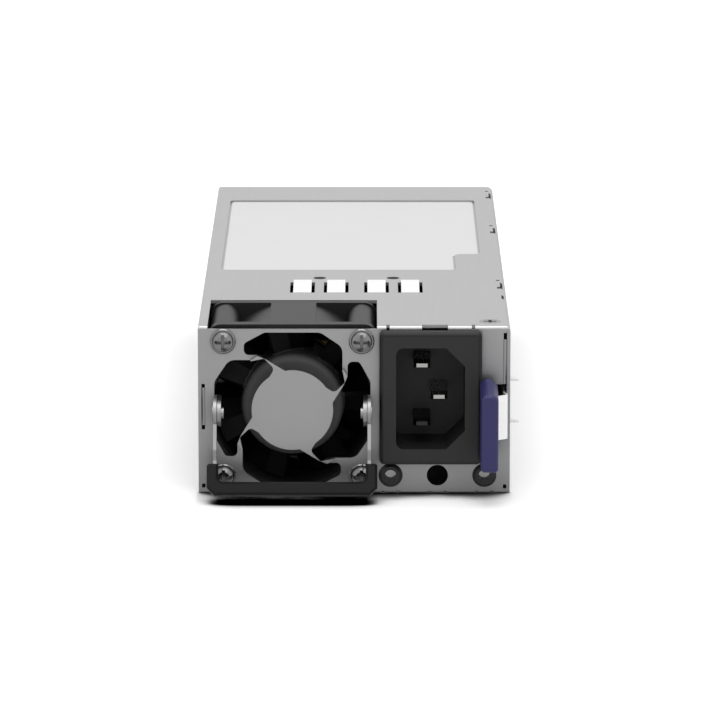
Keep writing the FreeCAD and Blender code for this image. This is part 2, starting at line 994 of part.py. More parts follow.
def window_prism(angle):
    """One swirling window of the fan guard, turned about the fan's axis."""
    round_off = float(d.window_corner)
    turned = [
        ((-d.window_left, d.window_sill_rise), round_off),
        ((-d.window_left, d.window_left_rise), round_off),
        ((-d.window_half, d.window_reach), round_off),
        ((d.window_half, d.window_reach), float(d.window_shoulder)),
        ((d.window_right, d.window_right_rise), float(d.window_shoulder)),
        ((d.window_right, d.window_right_waist), round_off / 2),
        ((d.window_tip_out, d.window_tip_rise), round_off / 2),
        ((d.window_toe_out, d.window_toe_rise), round_off),
    ]
    disc = float(d.disc_radius)
    first = math.radians(float(d.window_arc_start))
    last = math.radians(float(d.window_arc_end))
    corners = [(Vector(disc * math.cos(last), 0, disc * math.sin(last)), 0)]
    corners.append((point(-d.window_knee_out, 0, d.window_knee_rise), round_off))
    corners.append((point(-d.window_sill_out, 0, d.window_sill_rise), round_off / 2))
    corners.extend((point(x, 0, z), radius) for (x, z), radius in turned)
    corners.append((Vector(disc * math.cos(first), 0, disc * math.sin(first)), 0))
    edges = rounded_edges(corners, closed=False)
    middle = (first + last) / 2
    arc = Part.Arc(corners[-1][0], Vector(disc * math.cos(middle), 0, disc * math.sin(middle)), corners[0][0])
    edges.append(arc.toShape())
    wire = Part.Wire(edges)
    wire.scale(float(guard_scale()))
    depth = float(d.sheet_gauge + d.disc_raise) + 2
    prism = Part.Face(wire).extrude(Vector(0, -depth, 0))
    prism.rotate(Vector(), Vector(0, 1, 0), angle)
    prism.translate(point(fan_x, panel_back + 1, fan_z))
    return prism


def panel_holes():
    """Screw holes, inlet cut-out, lamp holes and latch slot."""
    through = (front - 1, panel_back + 1)
    tools = []
    for x, z in fan_screw_places():
        tools.append(rod("y", (x, z), through, d.screw_shank_radius + d.fit_gap))
    x0, x1 = inlet_body_x()
    z0, z1 = inlet_body_z()
    gap = d.seam_gap
    tools.append(block((x0 - gap, x1 + gap), through, (z0 - gap, z1 + gap)))
    for x in lamp_places():
        tools.append(rod("y", (x, d.lamp_height), through, d.bezel_neck + d.fit_gap))
    tools.append(rod("y", open_hole_centre(), through, d.open_hole_radius))
    slot_x = (right - d.latch_slot_left, wall_in + d.sheet_gauge / 3)
    tools.append(block(slot_x, through, latch_slot_z()))
    return tools


def latch_slot_z():
    """Height span of the slot that the latch spring comes through."""
    return d.latch_bottom - d.latch_slot_below, latch_top + d.latch_slot_above


def panel_edge_cuts():
    """Bend reliefs beside the walls, below the lid's lip and along the lower edge."""
    through = (front - 1, panel_back + 1)
    gauge = d.sheet_gauge
    left_x = (left + gauge, left + 2 * gauge)
    right_x = (right - 2 * gauge, right - gauge)
    tools = []
    for height in (d.relief_low, d.relief_middle, d.relief_high):
        tools.append(block(left_x, through, (height, height + d.relief_height)))
    tools.append(block(right_x, through, (gauge, gauge + d.relief_height)))
    high = (d.relief_right_low, d.relief_right_low + d.relief_right_height)
    tools.append(block(right_x, through, high))
    for span_x in lip_relief_x() + [lip_notch_x()]:
        tools.append(block(span_x, through, (lid_under - d.lid_relief, lid_under + 1)))
    half = d.foot_notch_width / 2
    lamps = lamp_places()
    for middle in (lamps[0], open_hole_centre()[0], lamps[1]):
        for side in (-1, 1):
            x = middle + side * d.foot_notch_spread / 2
            tools.append(block((x - half, x + half), through, (-1, d.foot_notch_height)))
    return tools


def bend_grooves():
    """Shallow rounded grooves where the panel's side flanges bend back."""
    gauge = d.sheet_gauge
    axis_y = front - d.bend_groove_radius + d.bend_groove_depth
    low = d.relief_middle + d.relief_height
    return [
        rod("z", (left + 3 * gauge / 2, axis_y), (low, d.relief_high), d.bend_groove_radius),
        rod("z", (right - 3 * gauge / 2, axis_y), (latch_slot_z()[1], d.relief_right_low), d.bend_groove_radius),
    ]


def make_handle_ears():
    """Two ear brackets that sit behind the panel and reach forward through the guard's side windows."""
    ears = []
    for side in (-1, 1):
        inner = fan_x + side * ear_offset
        outer = inner + side * d.ear_thickness
        heel = panel_back + d.ear_thickness
        toe = outer + side * d.ear_foot
        low = fan_z - d.ear_radius
        bend = float(d.ear_bend)
        profile = [
            (point(inner, pivot_y, low), 0),
            (point(outer, pivot_y, low), 0),
            (point(outer, panel_back, low), bend),
            (point(toe, panel_back, low), 0),
            (point(toe, heel, low), 0),
            (point(inner, heel, low), bend + float(d.ear_thickness)),
        ]
        sheet_leg = shaped(rounded_prism(profile, point(0, 0, 2 * d.ear_radius)))
        eye = rod("x", (pivot_y, fan_z), sorted_span(inner, outer), d.ear_radius)
        span = sorted_span(inner - side, outer + side)
        hole = rod("x", (pivot_y, fan_z), span, d.rivet_radius + d.fit_gap)
        ears.append(cut(fuse([sheet_leg, eye], "EarSheet"), [hole], "HandleEar"))
    return keep("handle_ears", group(ears, "HandleEars"))


def lid_tab():
    """The tab under the lid that takes its front screw."""
    x, y = lid_screw_place()
    half = d.lid_tab_width / 2
    low = lid_under - d.sheet_gauge - d.seam_gap
    span_x = (x - half, wall_in - d.seam_gap)
    tab = block(span_x, (front, front + d.lid_tab_length), (low, lid_under - d.seam_gap))
    return cut(tab, [rod("z", (x, y), (low - 1, lid_under), d.lid_screw_radius + d.fit_gap)], "LidTab")


def fan_screw_places():
    """Centres of the fan's four screws."""
    half = fan_size / 2 - d.fan_hole_inset
    places = []
    for across in (-1, 1):
        for up in (-1, 1):
            places.append((fan_x + across * half, fan_z + up * half))
    return places


def lamp_places():
    """Centres of the two status lamps across the panel."""
    first = inlet_left + d.lamp_inset
    return first, first + d.lamp_spread


def open_hole_centre():
    """Centre of the open hole between the lamps."""
    return lamp_places()[0] + d.open_hole_offset, d.lamp_height


def make_rear_panel():
    """Rear sheet with a honeycomb of vents above the slot for the card edge."""
    sheet_y = (rear - d.sheet_gauge, rear)
    plate = block((left, right), sheet_y, (0, lid_under))
    tools = []
    flats = float(d.vent_flats)
    pitch = flats + float(d.vent_web)
    rise = pitch * math.sqrt(3) / 2
    columns = int(float(d.vent_columns))
    hexagon = Part.makePolygon([vent_corner(index, flats) for index in range(7)])
    cell = Part.Face(hexagon).extrude(Vector(0, 3, 0))
    cells = []
    for row in range(int(float(d.vent_rows))):
        shift = pitch / 2 if row % 2 else 0
        for column in range(columns - row % 2):
            copy = cell.copy()
            across = (column - (columns - 1) / 2) * pitch + shift
            copy.translate(Vector(across, float(rear) - 2, float(d.vent_bottom) + flats / 2 + row * rise))
            cells.append(copy)
    tools.append(shaped(Part.makeCompound(cells)))
    gap = d.edge_slot_gap
    slot_x = (-d.edge_width / 2 - gap, d.edge_width / 2 + gap)
    tools.append(block(slot_x, (rear - 2, rear + 1), (board_bottom - gap, board_top + gap)))
    tools.append(right_edge_tool())
    return keep("rear_panel", cut(plate, tools, "RearPanel"))


def vent_corner(index, flats):
    """One corner of a vent's hexagon, point up."""
    angle = math.radians(60 * index + 30)
    radius = flats / math.sqrt(3)
    return Vector(radius * math.cos(angle), 0, radius * math.sin(angle))


def make_rating_label():
    """Blank label in the lid's sunk field."""
    top = d.case_height - d.label_sink
    shape = label_field(-d.label_inset, top, float(d.label_thickness))
    return keep("rating_label", shaped(shape, "RatingLabel"))


def make_lid_screw():
    """Countersunk screw at the lid's front corner."""
    centre = lid_screw_place()
    head = cone("z", centre, (lid_under, d.case_height), (d.lid_screw_radius, d.lid_screw_head))
    shank = rod("z", centre, (d.case_height - d.lid_screw_reach, lid_under), d.lid_screw_radius)
    screw = fuse([shank, head], "LidScrewSolid")
    top = (d.case_height - d.lid_screw_reach / 6, d.case_height + 1)
    return keep("lid_screw", cut(screw, cross_recess("z", centre, top, d.lid_screw_head), "LidScrew"))


def cross_recess(axis, centre, span, reach):
    """Two crossed slots of a screw head."""
    half = d.screw_recess_width / 2
    arm = reach * 0.6
    tools = []
    for wide, narrow in ((arm, half), (half, arm)):
        first = (centre[0] - wide, centre[0] + wide)
        second = (centre[1] - narrow, centre[1] + narrow)
        if axis == "z":
            tools.append(block(first, second, span))
        elif axis == "y":
            tools.append(block(first, span, second))
        else:
            tools.append(block(span, first, second))
    return tools


def make_side_screws():
    """Four countersunk screws that hold the lid's skirts to the side walls."""
    screws = []
    z = side_screw_level()
    start = right - d.sheet_gauge
    reach = right - 3 * d.sheet_gauge
    for y in side_screw_places():
        for side in (-1, 1):
            if side > 0:
                head = cone("x", (y, z), (start, right), (d.lid_screw_radius, d.lid_screw_head))
                shank = rod("x", (y, z), (reach, start), d.lid_screw_radius)
                slot = (right - d.sheet_gauge / 2, right + 1)
            else:
                head = cone("x", (y, z), (-right, -start), (d.lid_screw_head, d.lid_screw_radius))
                shank = rod("x", (y, z), (-start, -reach), d.lid_screw_radius)
                slot = (-right - 1, d.sheet_gauge / 2 - right)
            screw = fuse([shank, head], "SideScrewSolid")
            screws.append(cut(screw, cross_recess("x", (y, z), slot, d.lid_screw_head), "SideScrew"))
    return keep("side_screws", group(screws, "SideScrews"))


# Fan.
def make_fan_frame():
    """Moulded frame: two square flanges, a flat-sided duct, corner bosses and the motor mount."""
    envelope = rounded_square(fan_front, fan_rear)
    front_flange = rounded_square(fan_front, fan_front + d.fan_flange)
    rear_flange = rounded_square(fan_rear - d.fan_rear_flange, fan_rear)
    centre = (fan_x, fan_z)
    duct = common(rod("y", centre, (fan_front, fan_rear), fan_bore + d.fan_duct_wall), envelope, "Duct")
    half = fan_size / 2
    flat = d.fan_flat_width / 2
    bosses = [
        block((fan_x - flat, fan_x + flat), (fan_front, fan_rear), (fan_z - half, fan_z + half)),
        block((fan_x - half, fan_x + half), (fan_front, fan_rear), (fan_z - flat, fan_z + flat)),
    ]
    for x, z in fan_screw_places():
        bosses.append(rod("y", (x, z), (fan_front, fan_rear), d.fan_boss_radius))
    outer = fuse([front_flange, rear_flange, duct] + bosses, "FrameOuter")
    tools = [rod("y", centre, (fan_front - 1, fan_rear + 1), fan_bore)]
    for x, z in fan_screw_places():
        tools.append(rod("y", (x, z), (fan_front - 1, fan_rear + 1), d.fan_hole_radius))
    shell = cut(outer, tools, "FrameShell")
    mount = fuse([shell, shaped(motor_mount())], "FrameWithMount")
    return keep("fan_frame", mount)


def rounded_square(y0, y1):
    """The fan's square envelope between two planes."""
    half = fan_size / 2
    corner = float(d.fan_corner)
    corners = []
    for across, up in ((-1, -1), (1, -1), (1, 1), (-1, 1)):
        corners.append((point(fan_x + across * half, y0, fan_z + up * half), corner))
    return shaped(rounded_prism(corners, point(0, y1 - y0, 0)))


def motor_mount():
    """Rear disc on struts, with the tube that holds the bearings."""
    back = float(fan_rear)
    depth = float(d.motor_base_depth)
    axis = Vector(0, -1, 0)
    centre = point(fan_x, back, fan_z)
    disc = Part.makeCylinder(float(d.motor_base_radius), depth, centre, axis)
    tube_radius = float(d.bearing_radius + d.bearing_tube_wall)
    tube = Part.makeCylinder(tube_radius, float(bearing_tube_length()), centre, axis)
    solid = disc.fuse(tube)
    reach = float(fan_bore + d.fan_wall / 3)
    width = float(d.strut_width)
    for index in range(int(float(d.strut_count))):
        strut = Part.makeBox(reach, depth, width, Vector(0, back - depth, -width / 2))
        turn = 360 / float(d.strut_count) * (index + 0.5)
        strut.rotate(Vector(), Vector(0, 1, 0), turn)
        strut.translate(point(fan_x, 0, fan_z))
        solid = solid.fuse(strut)
    bore = Part.makeCylinder(float(d.bearing_radius), float(bearing_tube_length()), centre, axis)
    blind = Part.makeCylinder(float(d.bearing_radius), 1, centre, axis)
    return solid.cut(bore).fuse(blind).removeSplitter()


def bearing_tube_length():
    """Length of the bearing tube from the fan's rear face."""
    return d.motor_base_depth + 12


def hub_front():
    """Front face of the rotor hub."""
    return fan_front + d.hub_setback


def hub_rear():
    """Rear edge of the rotor hub."""
    return hub_front() + d.hub_length


def make_fan_rotor():
    """Hub cup with twisted blades."""
    centre = point(fan_x, hub_front(), fan_z)
    axis = Vector(0, 1, 0)
    hub_radius = float(d.hub_radius)
    hub = Part.makeCylinder(hub_radius, float(d.hub_length), centre, axis)
    nose = [edge for edge in hub.Edges if near(edge.BoundBox.YMax, hub_front()) and edge.Closed]
    hub = hub.makeFillet(float(d.hub_nose_round), nose)
    inner = hub_radius - float(d.hub_wall)
    hollow = Part.makeCylinder(inner, float(d.hub_length), centre + Vector(0, float(d.hub_wall), 0), axis)
    hub = hub.cut(hollow)
    spigot_radius = float(d.shaft_radius) + 1.5
    spigot = Part.makeCylinder(spigot_radius, float(d.hub_wall) + 2, centre, axis)
    socket = Part.makeCylinder(float(d.shaft_radius), 5, centre + Vector(0, float(d.hub_wall), 0), axis)
    hub = hub.fuse(spigot).cut(socket)
    tip = float(fan_bore - d.blade_tip_gap)
    swept = Part.makeCylinder(tip, float(d.hub_length), centre, axis)
    swept = swept.cut(Part.makeCylinder(hub_radius - float(d.hub_wall) / 2, float(d.hub_length), centre, axis))
    rotor = hub
    count = int(float(d.blade_count))
    for index in range(count):
        blade = fan_blade()
        blade.rotate(Vector(), axis, 360 / count * index)
        blade.translate(point(fan_x, 0, fan_z))
        rotor = rotor.fuse(blade.common(swept))
    return keep("fan_rotor", shaped(rotor.removeSplitter(), "FanRotor"))


def blade_section(radius, chord, pitch):
    """A cambered blade section on the plane at a distance from the axis."""
    middle = float(hub_front() + hub_rear()) / 2 - float(d.blade_inset) / 2
    half = float(d.blade_thickness) / 2
    camber = float(d.blade_camber)
    angle = math.radians(pitch)
    outline_points = []
    stations = (-0.5, -0.2, 0.15, 0.5)
    for share in stations:
        outline_points.append((share * chord, camber * (1 - 4 * share * share) + half))
    for share in reversed(stations):
        outline_points.append((share * chord, camber * (1 - 4 * share * share) - half))
    points = []
    for along_chord, off_chord in outline_points:
        y = along_chord * math.cos(angle) - off_chord * math.sin(angle)
        x = along_chord * math.sin(angle) + off_chord * math.cos(angle)
        points.append(Vector(x, middle + y, radius))
    return Part.makePolygon(points + [points[0]])


def fan_blade():
    """One blade, lofted from its root inside the hub wall to beyond its tip."""
    root_radius = float(d.hub_radius - d.hub_wall) - 1
    tip_radius = float(fan_bore) + 0.5
    root = blade_section(root_radius, float(d.blade_root_chord), float(d.blade_root_pitch))
    tip = blade_section(tip_radius, float(d.blade_tip_chord), float(d.blade_tip_pitch))
    return Part.makeLoft([root, tip], True, True)


def make_fan_magnet():
    """Magnet ring inside the hub cup."""
    outer = d.hub_radius - d.hub_wall
    start = hub_front() + d.hub_wall + 3
    span = (start, hub_rear() - 1)
    ring = rod("y", (fan_x, fan_z), span, outer)
    bore = rod("y", (fan_x, fan_z), span, outer - d.magnet_wall)
    return keep("fan_magnet", cut(ring, [bore], "FanMagnet"))


def stator_span():
    """The stator core's span along the axis."""
    end = fan_rear - d.motor_base_depth - 2
    return end - d.stator_length, end


def stator_radius():
    """Outer radius of the stator's pole shoes."""
    return d.hub_radius - d.hub_wall - d.magnet_wall - d.stator_gap


def make_stator_core():
    """Laminated core with four poles, pushed over the bearing tube."""
    span = stator_span()
    tube = d.bearing_radius + d.bearing_tube_wall
    radius = stator_radius()
    half = d.pole_width / 2
    disc = rod("y", (fan_x, fan_z), span, radius)
    bars = [
        block((fan_x - radius, fan_x + radius), span, (fan_z - half, fan_z + half)),
        block((fan_x - half, fan_x + half), span, (fan_z - radius, fan_z + radius)),
        rod("y", (fan_x, fan_z), span, tube + 1),
    ]
    ring = cut(rod("y", (fan_x, fan_z), span, radius), [rod("y", (fan_x, fan_z), span, radius - 1)], "Shoes")
    gaps = []
    for across, up in ((-1, -1), (1, -1), (1, 1), (-1, 1)):
        low_x, high_x = sorted_span(fan_x + across * (radius * 0.5), fan_x + across * radius)
        low_z, high_z = sorted_span(fan_z + up * (radius * 0.5), fan_z + up * radius)
        gaps.append(block((low_x, high_x), span, (low_z, high_z)))
    shoes = cut(ring, gaps, "PoleShoes")
    solid = common(fuse(bars + [shoes], "CoreSolid"), disc, "CoreTrim")
    bore = rod("y", (fan_x, fan_z), span, tube + d.fit_gap)
    return keep("stator_core", cut(solid, [bore], "StatorCore"))


def make_stator_coils():
    """Four coils round the core's poles."""
    coils = []
    start, end = stator_span()
    near_hub = d.bearing_radius + d.bearing_tube_wall + 1.2
    far = stator_radius() - 1.7
    half = d.pole_width / 2 + d.fit_gap
    outer = half + d.coil_wall
    long_y = (start - d.coil_wall - d.fit_gap, end + d.coil_wall + d.fit_gap)
    short_y = (start - d.fit_gap, end + d.fit_gap)
    for side in (-1, 1):
        reach = sorted_span(fan_x + side * near_hub, fan_x + side * far)
        body = block(reach, long_y, (fan_z - outer, fan_z + outer))
        coils.append(cut(body, [block(reach, short_y, (fan_z - half, fan_z + half))], "Coil"))
        reach = sorted_span(fan_z + side * near_hub, fan_z + side * far)
        body = block((fan_x - outer, fan_x + outer), long_y, reach)
        coils.append(cut(body, [block((fan_x - half, fan_x + half), short_y, reach)], "Coil"))
    return keep("stator_coils", group(coils, "StatorCoils"))


def bearing_spans():
    """The two bearings' spans in the bearing tube."""
    mouth = fan_rear - bearing_tube_length()
    seat = fan_rear - 1
    return (mouth, mouth + d.bearing_width), (seat - d.bearing_width, seat)


def make_fan_bearings():
    """Two sleeve bearings in the tube."""
    rings = []
    for span in bearing_spans():
        ring = rod("y", (fan_x, fan_z), span, d.bearing_radius)
        bore = rod("y", (fan_x, fan_z), span, d.shaft_radius + d.shaft_gap)
        rings.append(cut(ring, [bore], "Bearing"))
    return keep("fan_bearings", group(rings, "FanBearings"))


def make_fan_shaft():
    """Shaft, pressed into the hub and running in the bearings."""
    span = (hub_front() + d.hub_wall, fan_rear - 1 - d.running_gap)
    return keep("fan_shaft", rod("y", (fan_x, fan_z), span, d.shaft_radius, "FanShaft"))


def make_fan_screws():
    """Four pan head screws through the panel into the fan's corners."""
    screws = []
    for x, z in fan_screw_places():
        head = shaped(pan_head(x, z))
        shank = rod("y", (x, z), (front, front + d.screw_reach), d.screw_shank_radius)
        screw = fuse([head, shank], "FanScrewSolid")
        slot = (front - d.screw_head_height - 1, front - d.screw_head_height + d.screw_recess_depth)
        screws.append(cut(screw, cross_recess("y", (x, z), slot, d.screw_head_radius), "FanScrew"))
    return keep("fan_screws", group(screws, "FanScrews"))


def pan_head(x, z):
    """A domed head on a flat flange, turned about the screw's axis."""
    brim = d.screw_head_radius
    dome = d.screw_dome_radius
    flange = d.screw_flange_height
    crown = d.screw_head_height
    outline_points = (
        (0, 0),
        (brim, 0),
        (brim, flange * 0.6),
        (brim - flange * 0.4, flange),
        (dome, flange),
        (dome * 0.9, flange + (crown - flange) * 0.55),
        (dome * 0.58, flange + (crown - flange) * 0.92),
        (0, crown),
    )
    corners = [point(x + radius, front - height, z) for radius, height in outline_points]
    profile = Part.Face(Part.makePolygon(corners + corners[:1]))
    return profile.revolve(point(x, front, z), Vector(0, 1, 0), 360)


# Handle. Its pieces are drawn hanging straight down from the pivot and then tilted forward.
def handle_placement():
    """From the pivot's own frame to the case."""
    return Placement(point(fan_x, pivot_y, fan_z), Rotation(Vector(1, 0, 0), -float(d.handle_tilt)))


def strap_half():
    """Half the distance between the strap's inner faces."""
    return ear_offset + d.ear_thickness + d.strap_gap


def strap_solid(gap):
    """The bail strap in the pivot's frame, grown by a gap where the grip closes on it."""
    inner = float(strap_half()) - gap
    outer = inner + float(d.strap_thickness) + 2 * gap
    eye = float(d.strap_eye_radius)
    foot = float(d.strap_foot_width) / 2 + gap
    shoulder = float(d.strap_width) / 2
    bottom = -float(d.grip_reach) + float(d.grip_bar - d.strap_thickness) / 2 - gap
    arm_top = -float(d.grip_reach - d.grip_rise)
    solids = []
    for side in (-1, 1):
        start = side * inner if side > 0 else -outer
        push = Vector(outer - inner, 0, 0)
        profile = [
            (Vector(start, -shoulder, 0), 0),
            (Vector(start, -shoulder, arm_top + 3), 1.5),
            (Vector(start, -foot, arm_top + 0.8), 1.0),
            (Vector(start, -foot, bottom), 0),
            (Vector(start, foot, bottom), 0),
            (Vector(start, foot, arm_top + 0.8), 1.0),
            (Vector(start, shoulder, arm_top + 3), 1.5),
            (Vector(start, shoulder, 0), 0),
        ]
        solids.append(rounded_prism(profile, push))
        solids.append(Part.makeCylinder(eye, outer - inner, Vector(start, 0, 0), Vector(1, 0, 0)))
    thickness = float(d.strap_thickness) + 2 * gap
    solids.append(Part.makeBox(2 * outer, 2 * foot, thickness, Vector(-outer, -foot, bottom)))
    return solids[0].multiFuse(solids[1:]).removeSplitter()


def make_handle_strap():
    """Steel bail: two legs with eyes, joined by a bar inside the grip."""
    shape = strap_solid(0)
    reach = float(strap_half() + d.strap_thickness) + 1
    hole_radius = float(d.rivet_radius + d.fit_gap)
    shape = shape.cut(Part.makeCylinder(hole_radius, 2 * reach, Vector(-reach, 0, 0), Vector(1, 0, 0)))
    return keep("handle_strap", shaped(shape, "HandleStrap", handle_placement()))


def make_handle_grip():
    """Moulded grip round the strap's lower bar."""
    body = doc.addObject("PartDesign::Body", "GripBody")
    profile = new_sketch(body, "XZ_Plane", "GripProfile")
    half = strap_half() + d.strap_thickness + d.grip_side
    arm = half - d.grip_arm
    bottom = -d.grip_reach
    top = bottom + d.grip_rise
    bar = bottom + d.grip_bar
    chamfer = d.grip_chamfer
    corners = [
        (-half, bottom + chamfer),
        (chamfer - half, bottom),
        (half - chamfer, bottom),
        (half, bottom + chamfer),
        (half, top),
        (arm, top),
        (arm, bar),
        (-arm, bar),
        (-arm, top),
        (-half, top),
    ]
    outline(profile, corners)
    raised = pad(body, profile, d.grip_thickness, midplane=True)
    rim = d.grip_thickness / 2
    inside = soften(
        body,
        raised,
        "Fillet",
        lambda a, b: near(a.x, b.x) and near(abs(a.x), arm) and near(a.z, bar) and near(b.z, bar),
        d.grip_inner_round,
    )
    outside = soften(
        body,
        inside,
        "Fillet",
        lambda a, b: near(a.x, b.x) and near(abs(a.x), half) and near(a.z, b.z),
        d.grip_outer_round,
    )
    soften(
        body,
        outside,
        "Chamfer",
        lambda a, b: near(abs(a.y), rim) and near(a.y, b.y),
        d.grip_edge,
    )
    channel = shaped(strap_solid(float(d.fit_gap)), "GripChannel")
    grip = cut(body, [channel], "HandleGrip")
    grip.Placement = handle_placement()
    return keep("handle_grip", grip)


def make_handle_rivets():
    """Two rivets through the ears, on which the strap's eyes turn."""
    rivets = []
    for side in (-1, 1):
        inner = fan_x + side * ear_offset
        outer = fan_x + side * (strap_half() + d.strap_thickness + d.strap_gap)
        stub = inner - side * d.rivet_stub
        cap = outer + side * d.rivet_head_height
        centre = (pivot_y, fan_z)
        solids = [
            rod("x", centre, sorted_span(stub, inner), d.rivet_stub_radius),
            rod("x", centre, sorted_span(stub, cap), d.rivet_radius),
            rod("x", centre, sorted_span(outer, cap), d.rivet_head_radius),
        ]
        rivets.append(fuse(solids, "HandleRivet"))
    return keep("handle_rivets", group(rivets, "HandleRivets"))


# Mains inlet.
def inlet_body_x():
    """The inlet body's span behind the flange."""
    return inlet_left + d.inlet_rim, inlet_right - d.inlet_rim


def inlet_body_z():
    """The inlet body's height span."""
    return d.inlet_bottom + d.inlet_rim, inlet_top - d.inlet_rim


def cavity_centre_z():
    """Mid height of the inlet's cavity."""
    return (d.inlet_bottom + inlet_top) / 2


def cavity_x():
    """The cavity's span across the inlet."""
    x0 = inlet_left + d.cavity_from_edge
    return x0, x0 + d.cavity_width


def make_inlet_housing():
    """Moulded inlet: flange, body and the keyed cavity that takes the mains connector."""
    body = doc.addObject("PartDesign::Body", "InletBody")
    flange = new_sketch(body, "XZ_Plane", "Flange", -front)
    oblong(flange, (inlet_left, inlet_right), (d.inlet_bottom, inlet_top))
    raised = pad(body, flange, d.inlet_proud)
    face = front - d.inlet_proud
    corner = soften(
        body,
        raised,
        "Fillet",
        lambda a, b: near(a.x, b.x) and near(a.z, b.z),
        d.inlet_corner,
    )
    soften(
        body,
        corner,
        "Fillet",
        lambda a, b: near(a.y, face) and near(b.y, face),
        d.inlet_edge_round,
    )
    shank = new_sketch(body, "XZ_Plane", "Shank", -front)
    oblong(shank, inlet_body_x(), inlet_body_z())
    pad(body, shank, d.inlet_body_depth, reverse=True)
    cavity = new_sketch(body, "XZ_Plane", "Cavity", d.inlet_proud - front)
    outline(cavity, cavity_corners())
    hollow = pocket(body, cavity, d.cavity_depth)
    inner = cavity_x()[0]
    soften(
        body,
        hollow,
        "Fillet",
        lambda a, b: near(a.x, inner) and near(b.x, inner) and not near(a.y, b.y),
        d.cavity_corner,
    )
    tools = [block(*pin_box(centre, setback, d.fit_gap)) for centre, setback in pin_places()]
    return keep("inlet_housing", cut(body, tools, "InletHousing"))


def cavity_corners():
    """The cavity's keyed outline, with its two chamfers on the right."""
    x0, x1 = cavity_x()
    middle = cavity_centre_z()
    half = d.cavity_height / 2
    chamfer = d.cavity_chamfer
    return [
        (x0, middle - half),
        (x1 - chamfer, middle - half),
        (x1, middle - half + chamfer),
        (x1, middle + half - chamfer),
        (x1 - chamfer, middle + half),
        (x0, middle + half),
    ]


def pin_places():
    """Centre and tip setback of the line, neutral and earth pins."""
    x = inlet_left + d.live_from_edge
    z = cavity_centre_z()
    return [
        ((x, z + d.pin_spread), d.live_tip_setback),
        ((x, z - d.pin_spread), d.live_tip_setback),
        ((x + d.pin_offset, z), d.earth_tip_setback),
    ]


def pin_box(centre, setback, grow):
    """Low and high values of a pin along each axis."""
    half_x = d.pin_width / 2 + grow
    half_z = d.pin_thickness / 2 + grow
    start = front - d.inlet_proud + setback
    end = front + d.inlet_body_depth + d.pin_tail
    return (centre[0] - half_x, centre[0] + half_x), (start, end), (centre[1] - half_z, centre[1] + half_z)


def make_pins():
    """The three blade pins, each with a tapered tip."""
    labels = ("line_pin", "neutral_pin", "earth_pin")
    for label, (centre, setback) in zip(labels, pin_places()):
        x, y, z = pin_box(centre, setback, 0)
        shoulder = y[0] + d.pin_taper
        half_x = d.pin_tip_width / 2
        half_z = d.pin_tip_thickness / 2
        tip = doc.addObject("Part::Wedge", "PinTip")
        tip_x = (centre[0] - half_x, centre[0] + half_x)
        tip_z = (centre[1] - half_z, centre[1] + half_z)
        sides = (
            ("Xmin", tip_x[0]),
            ("Xmax", tip_x[1]),
            ("Zmin", tip_z[0]),
            ("Zmax", tip_z[1]),
            ("Ymin", y[0]),
            ("Ymax", shoulder),
            ("X2min", x[0]),
            ("X2max", x[1]),
            ("Z2min", z[0]),
            ("Z2max", z[1]),
        )
        for path, value in sides:
            bind(tip, path, value)
        blade = block(x, (shoulder, y[1]), z, "PinBlade")
        keep(label, fuse([tip, blade], "Pin"))


# Lamps.
def make_lamps():
    """Black bezels with a clear lens in each."""
    bezels = []
    lenses = []
    face = front - d.bezel_proud
    for x in lamp_places():
        centre = (x, d.lamp_height)
        rim = cone("y", centre, (face, front), (d.bezel_radius - d.bezel_proud, d.bezel_radius))
        neck = rod("y", centre, (front, front + d.bezel_depth), d.bezel_neck)
        bore = rod("y", centre, (face - 1, front + d.bezel_depth + 1), d.lamp_radius)
        bezels.append(cut(fuse([rim, neck], "BezelSolid"), [bore], "Bezel"))
        span = (face + d.lens_setback, front + d.bezel_depth)
        lenses.append(rod("y", centre, span, d.lamp_radius, "Lens"))
    keep("lamp_bezels", group(bezels, "LampBezels"))
    keep("lamp_lenses", group(lenses, "LampLenses"))


# Latch.
def strip_corners(grow, z):
    """The latch strip's path seen from above, grown by a gap."""
    half = float(d.latch_gauge) / 2 + grow
    x = float(strip_x)
    finger_x = x - float(d.latch_jog)
    tail = float(latch_pivot_y + d.latch_tail)
    bow_x = x + float(d.latch_bow)
    tip = float(front - d.latch_finger) - grow
    path = [
        (x, tail),
        (x, float(front - d.latch_bow_start)),
        (bow_x, float(front - d.latch_bow_end)),
        (bow_x, float(front - d.latch_jog_start)),
        (finger_x, float(front - d.latch_jog_end)),
        (finger_x, tip),
    ]
    corners = [Vector(px + half, py, z) for px, py in path]
    corners += [Vector(px - half, py, z) for px, py in reversed(path)]
    return [(corner, 0) for corner in corners]


def make_latch_spring():
    """Spring strip along the right wall, with two catch teeth that reach through the wall."""
    strip = rounded_prism(strip_corners(0, float(d.latch_bottom)), point(0, 0, d.latch_height))
    solids = [strip]
    tooth_y = front + d.tooth_back
    inner = strip_x
    outer = right + d.tooth_proud
    for low in tooth_levels():
        corners = [
            (point(inner, tooth_y, low), 0),
            (point(outer, tooth_y, low), 0),
            (point(inner, tooth_y + d.tooth_length, low), 0),
        ]
        solids.append(rounded_prism(corners, point(0, 0, d.tooth_thickness)))
    shape = solids[0].multiFuse(solids[1:])
    for z in latch_rivet_levels():
        radius = float(d.latch_rivet_radius + d.latch_rivet_gap)
        start = point(strip_x - 2, latch_pivot_y, z)
        shape = shape.cut(Part.makeCylinder(radius, 4, start, Vector(1, 0, 0)))
    return keep("latch_spring", shaped(shape.removeSplitter(), "LatchSpring"))


def latch_rivet_levels():
    """Heights of the two rivets that hold the latch's rear end."""
    middle = d.latch_bottom + d.latch_height / 2
    return middle - d.latch_rivet_spread / 2, middle + d.latch_rivet_spread / 2


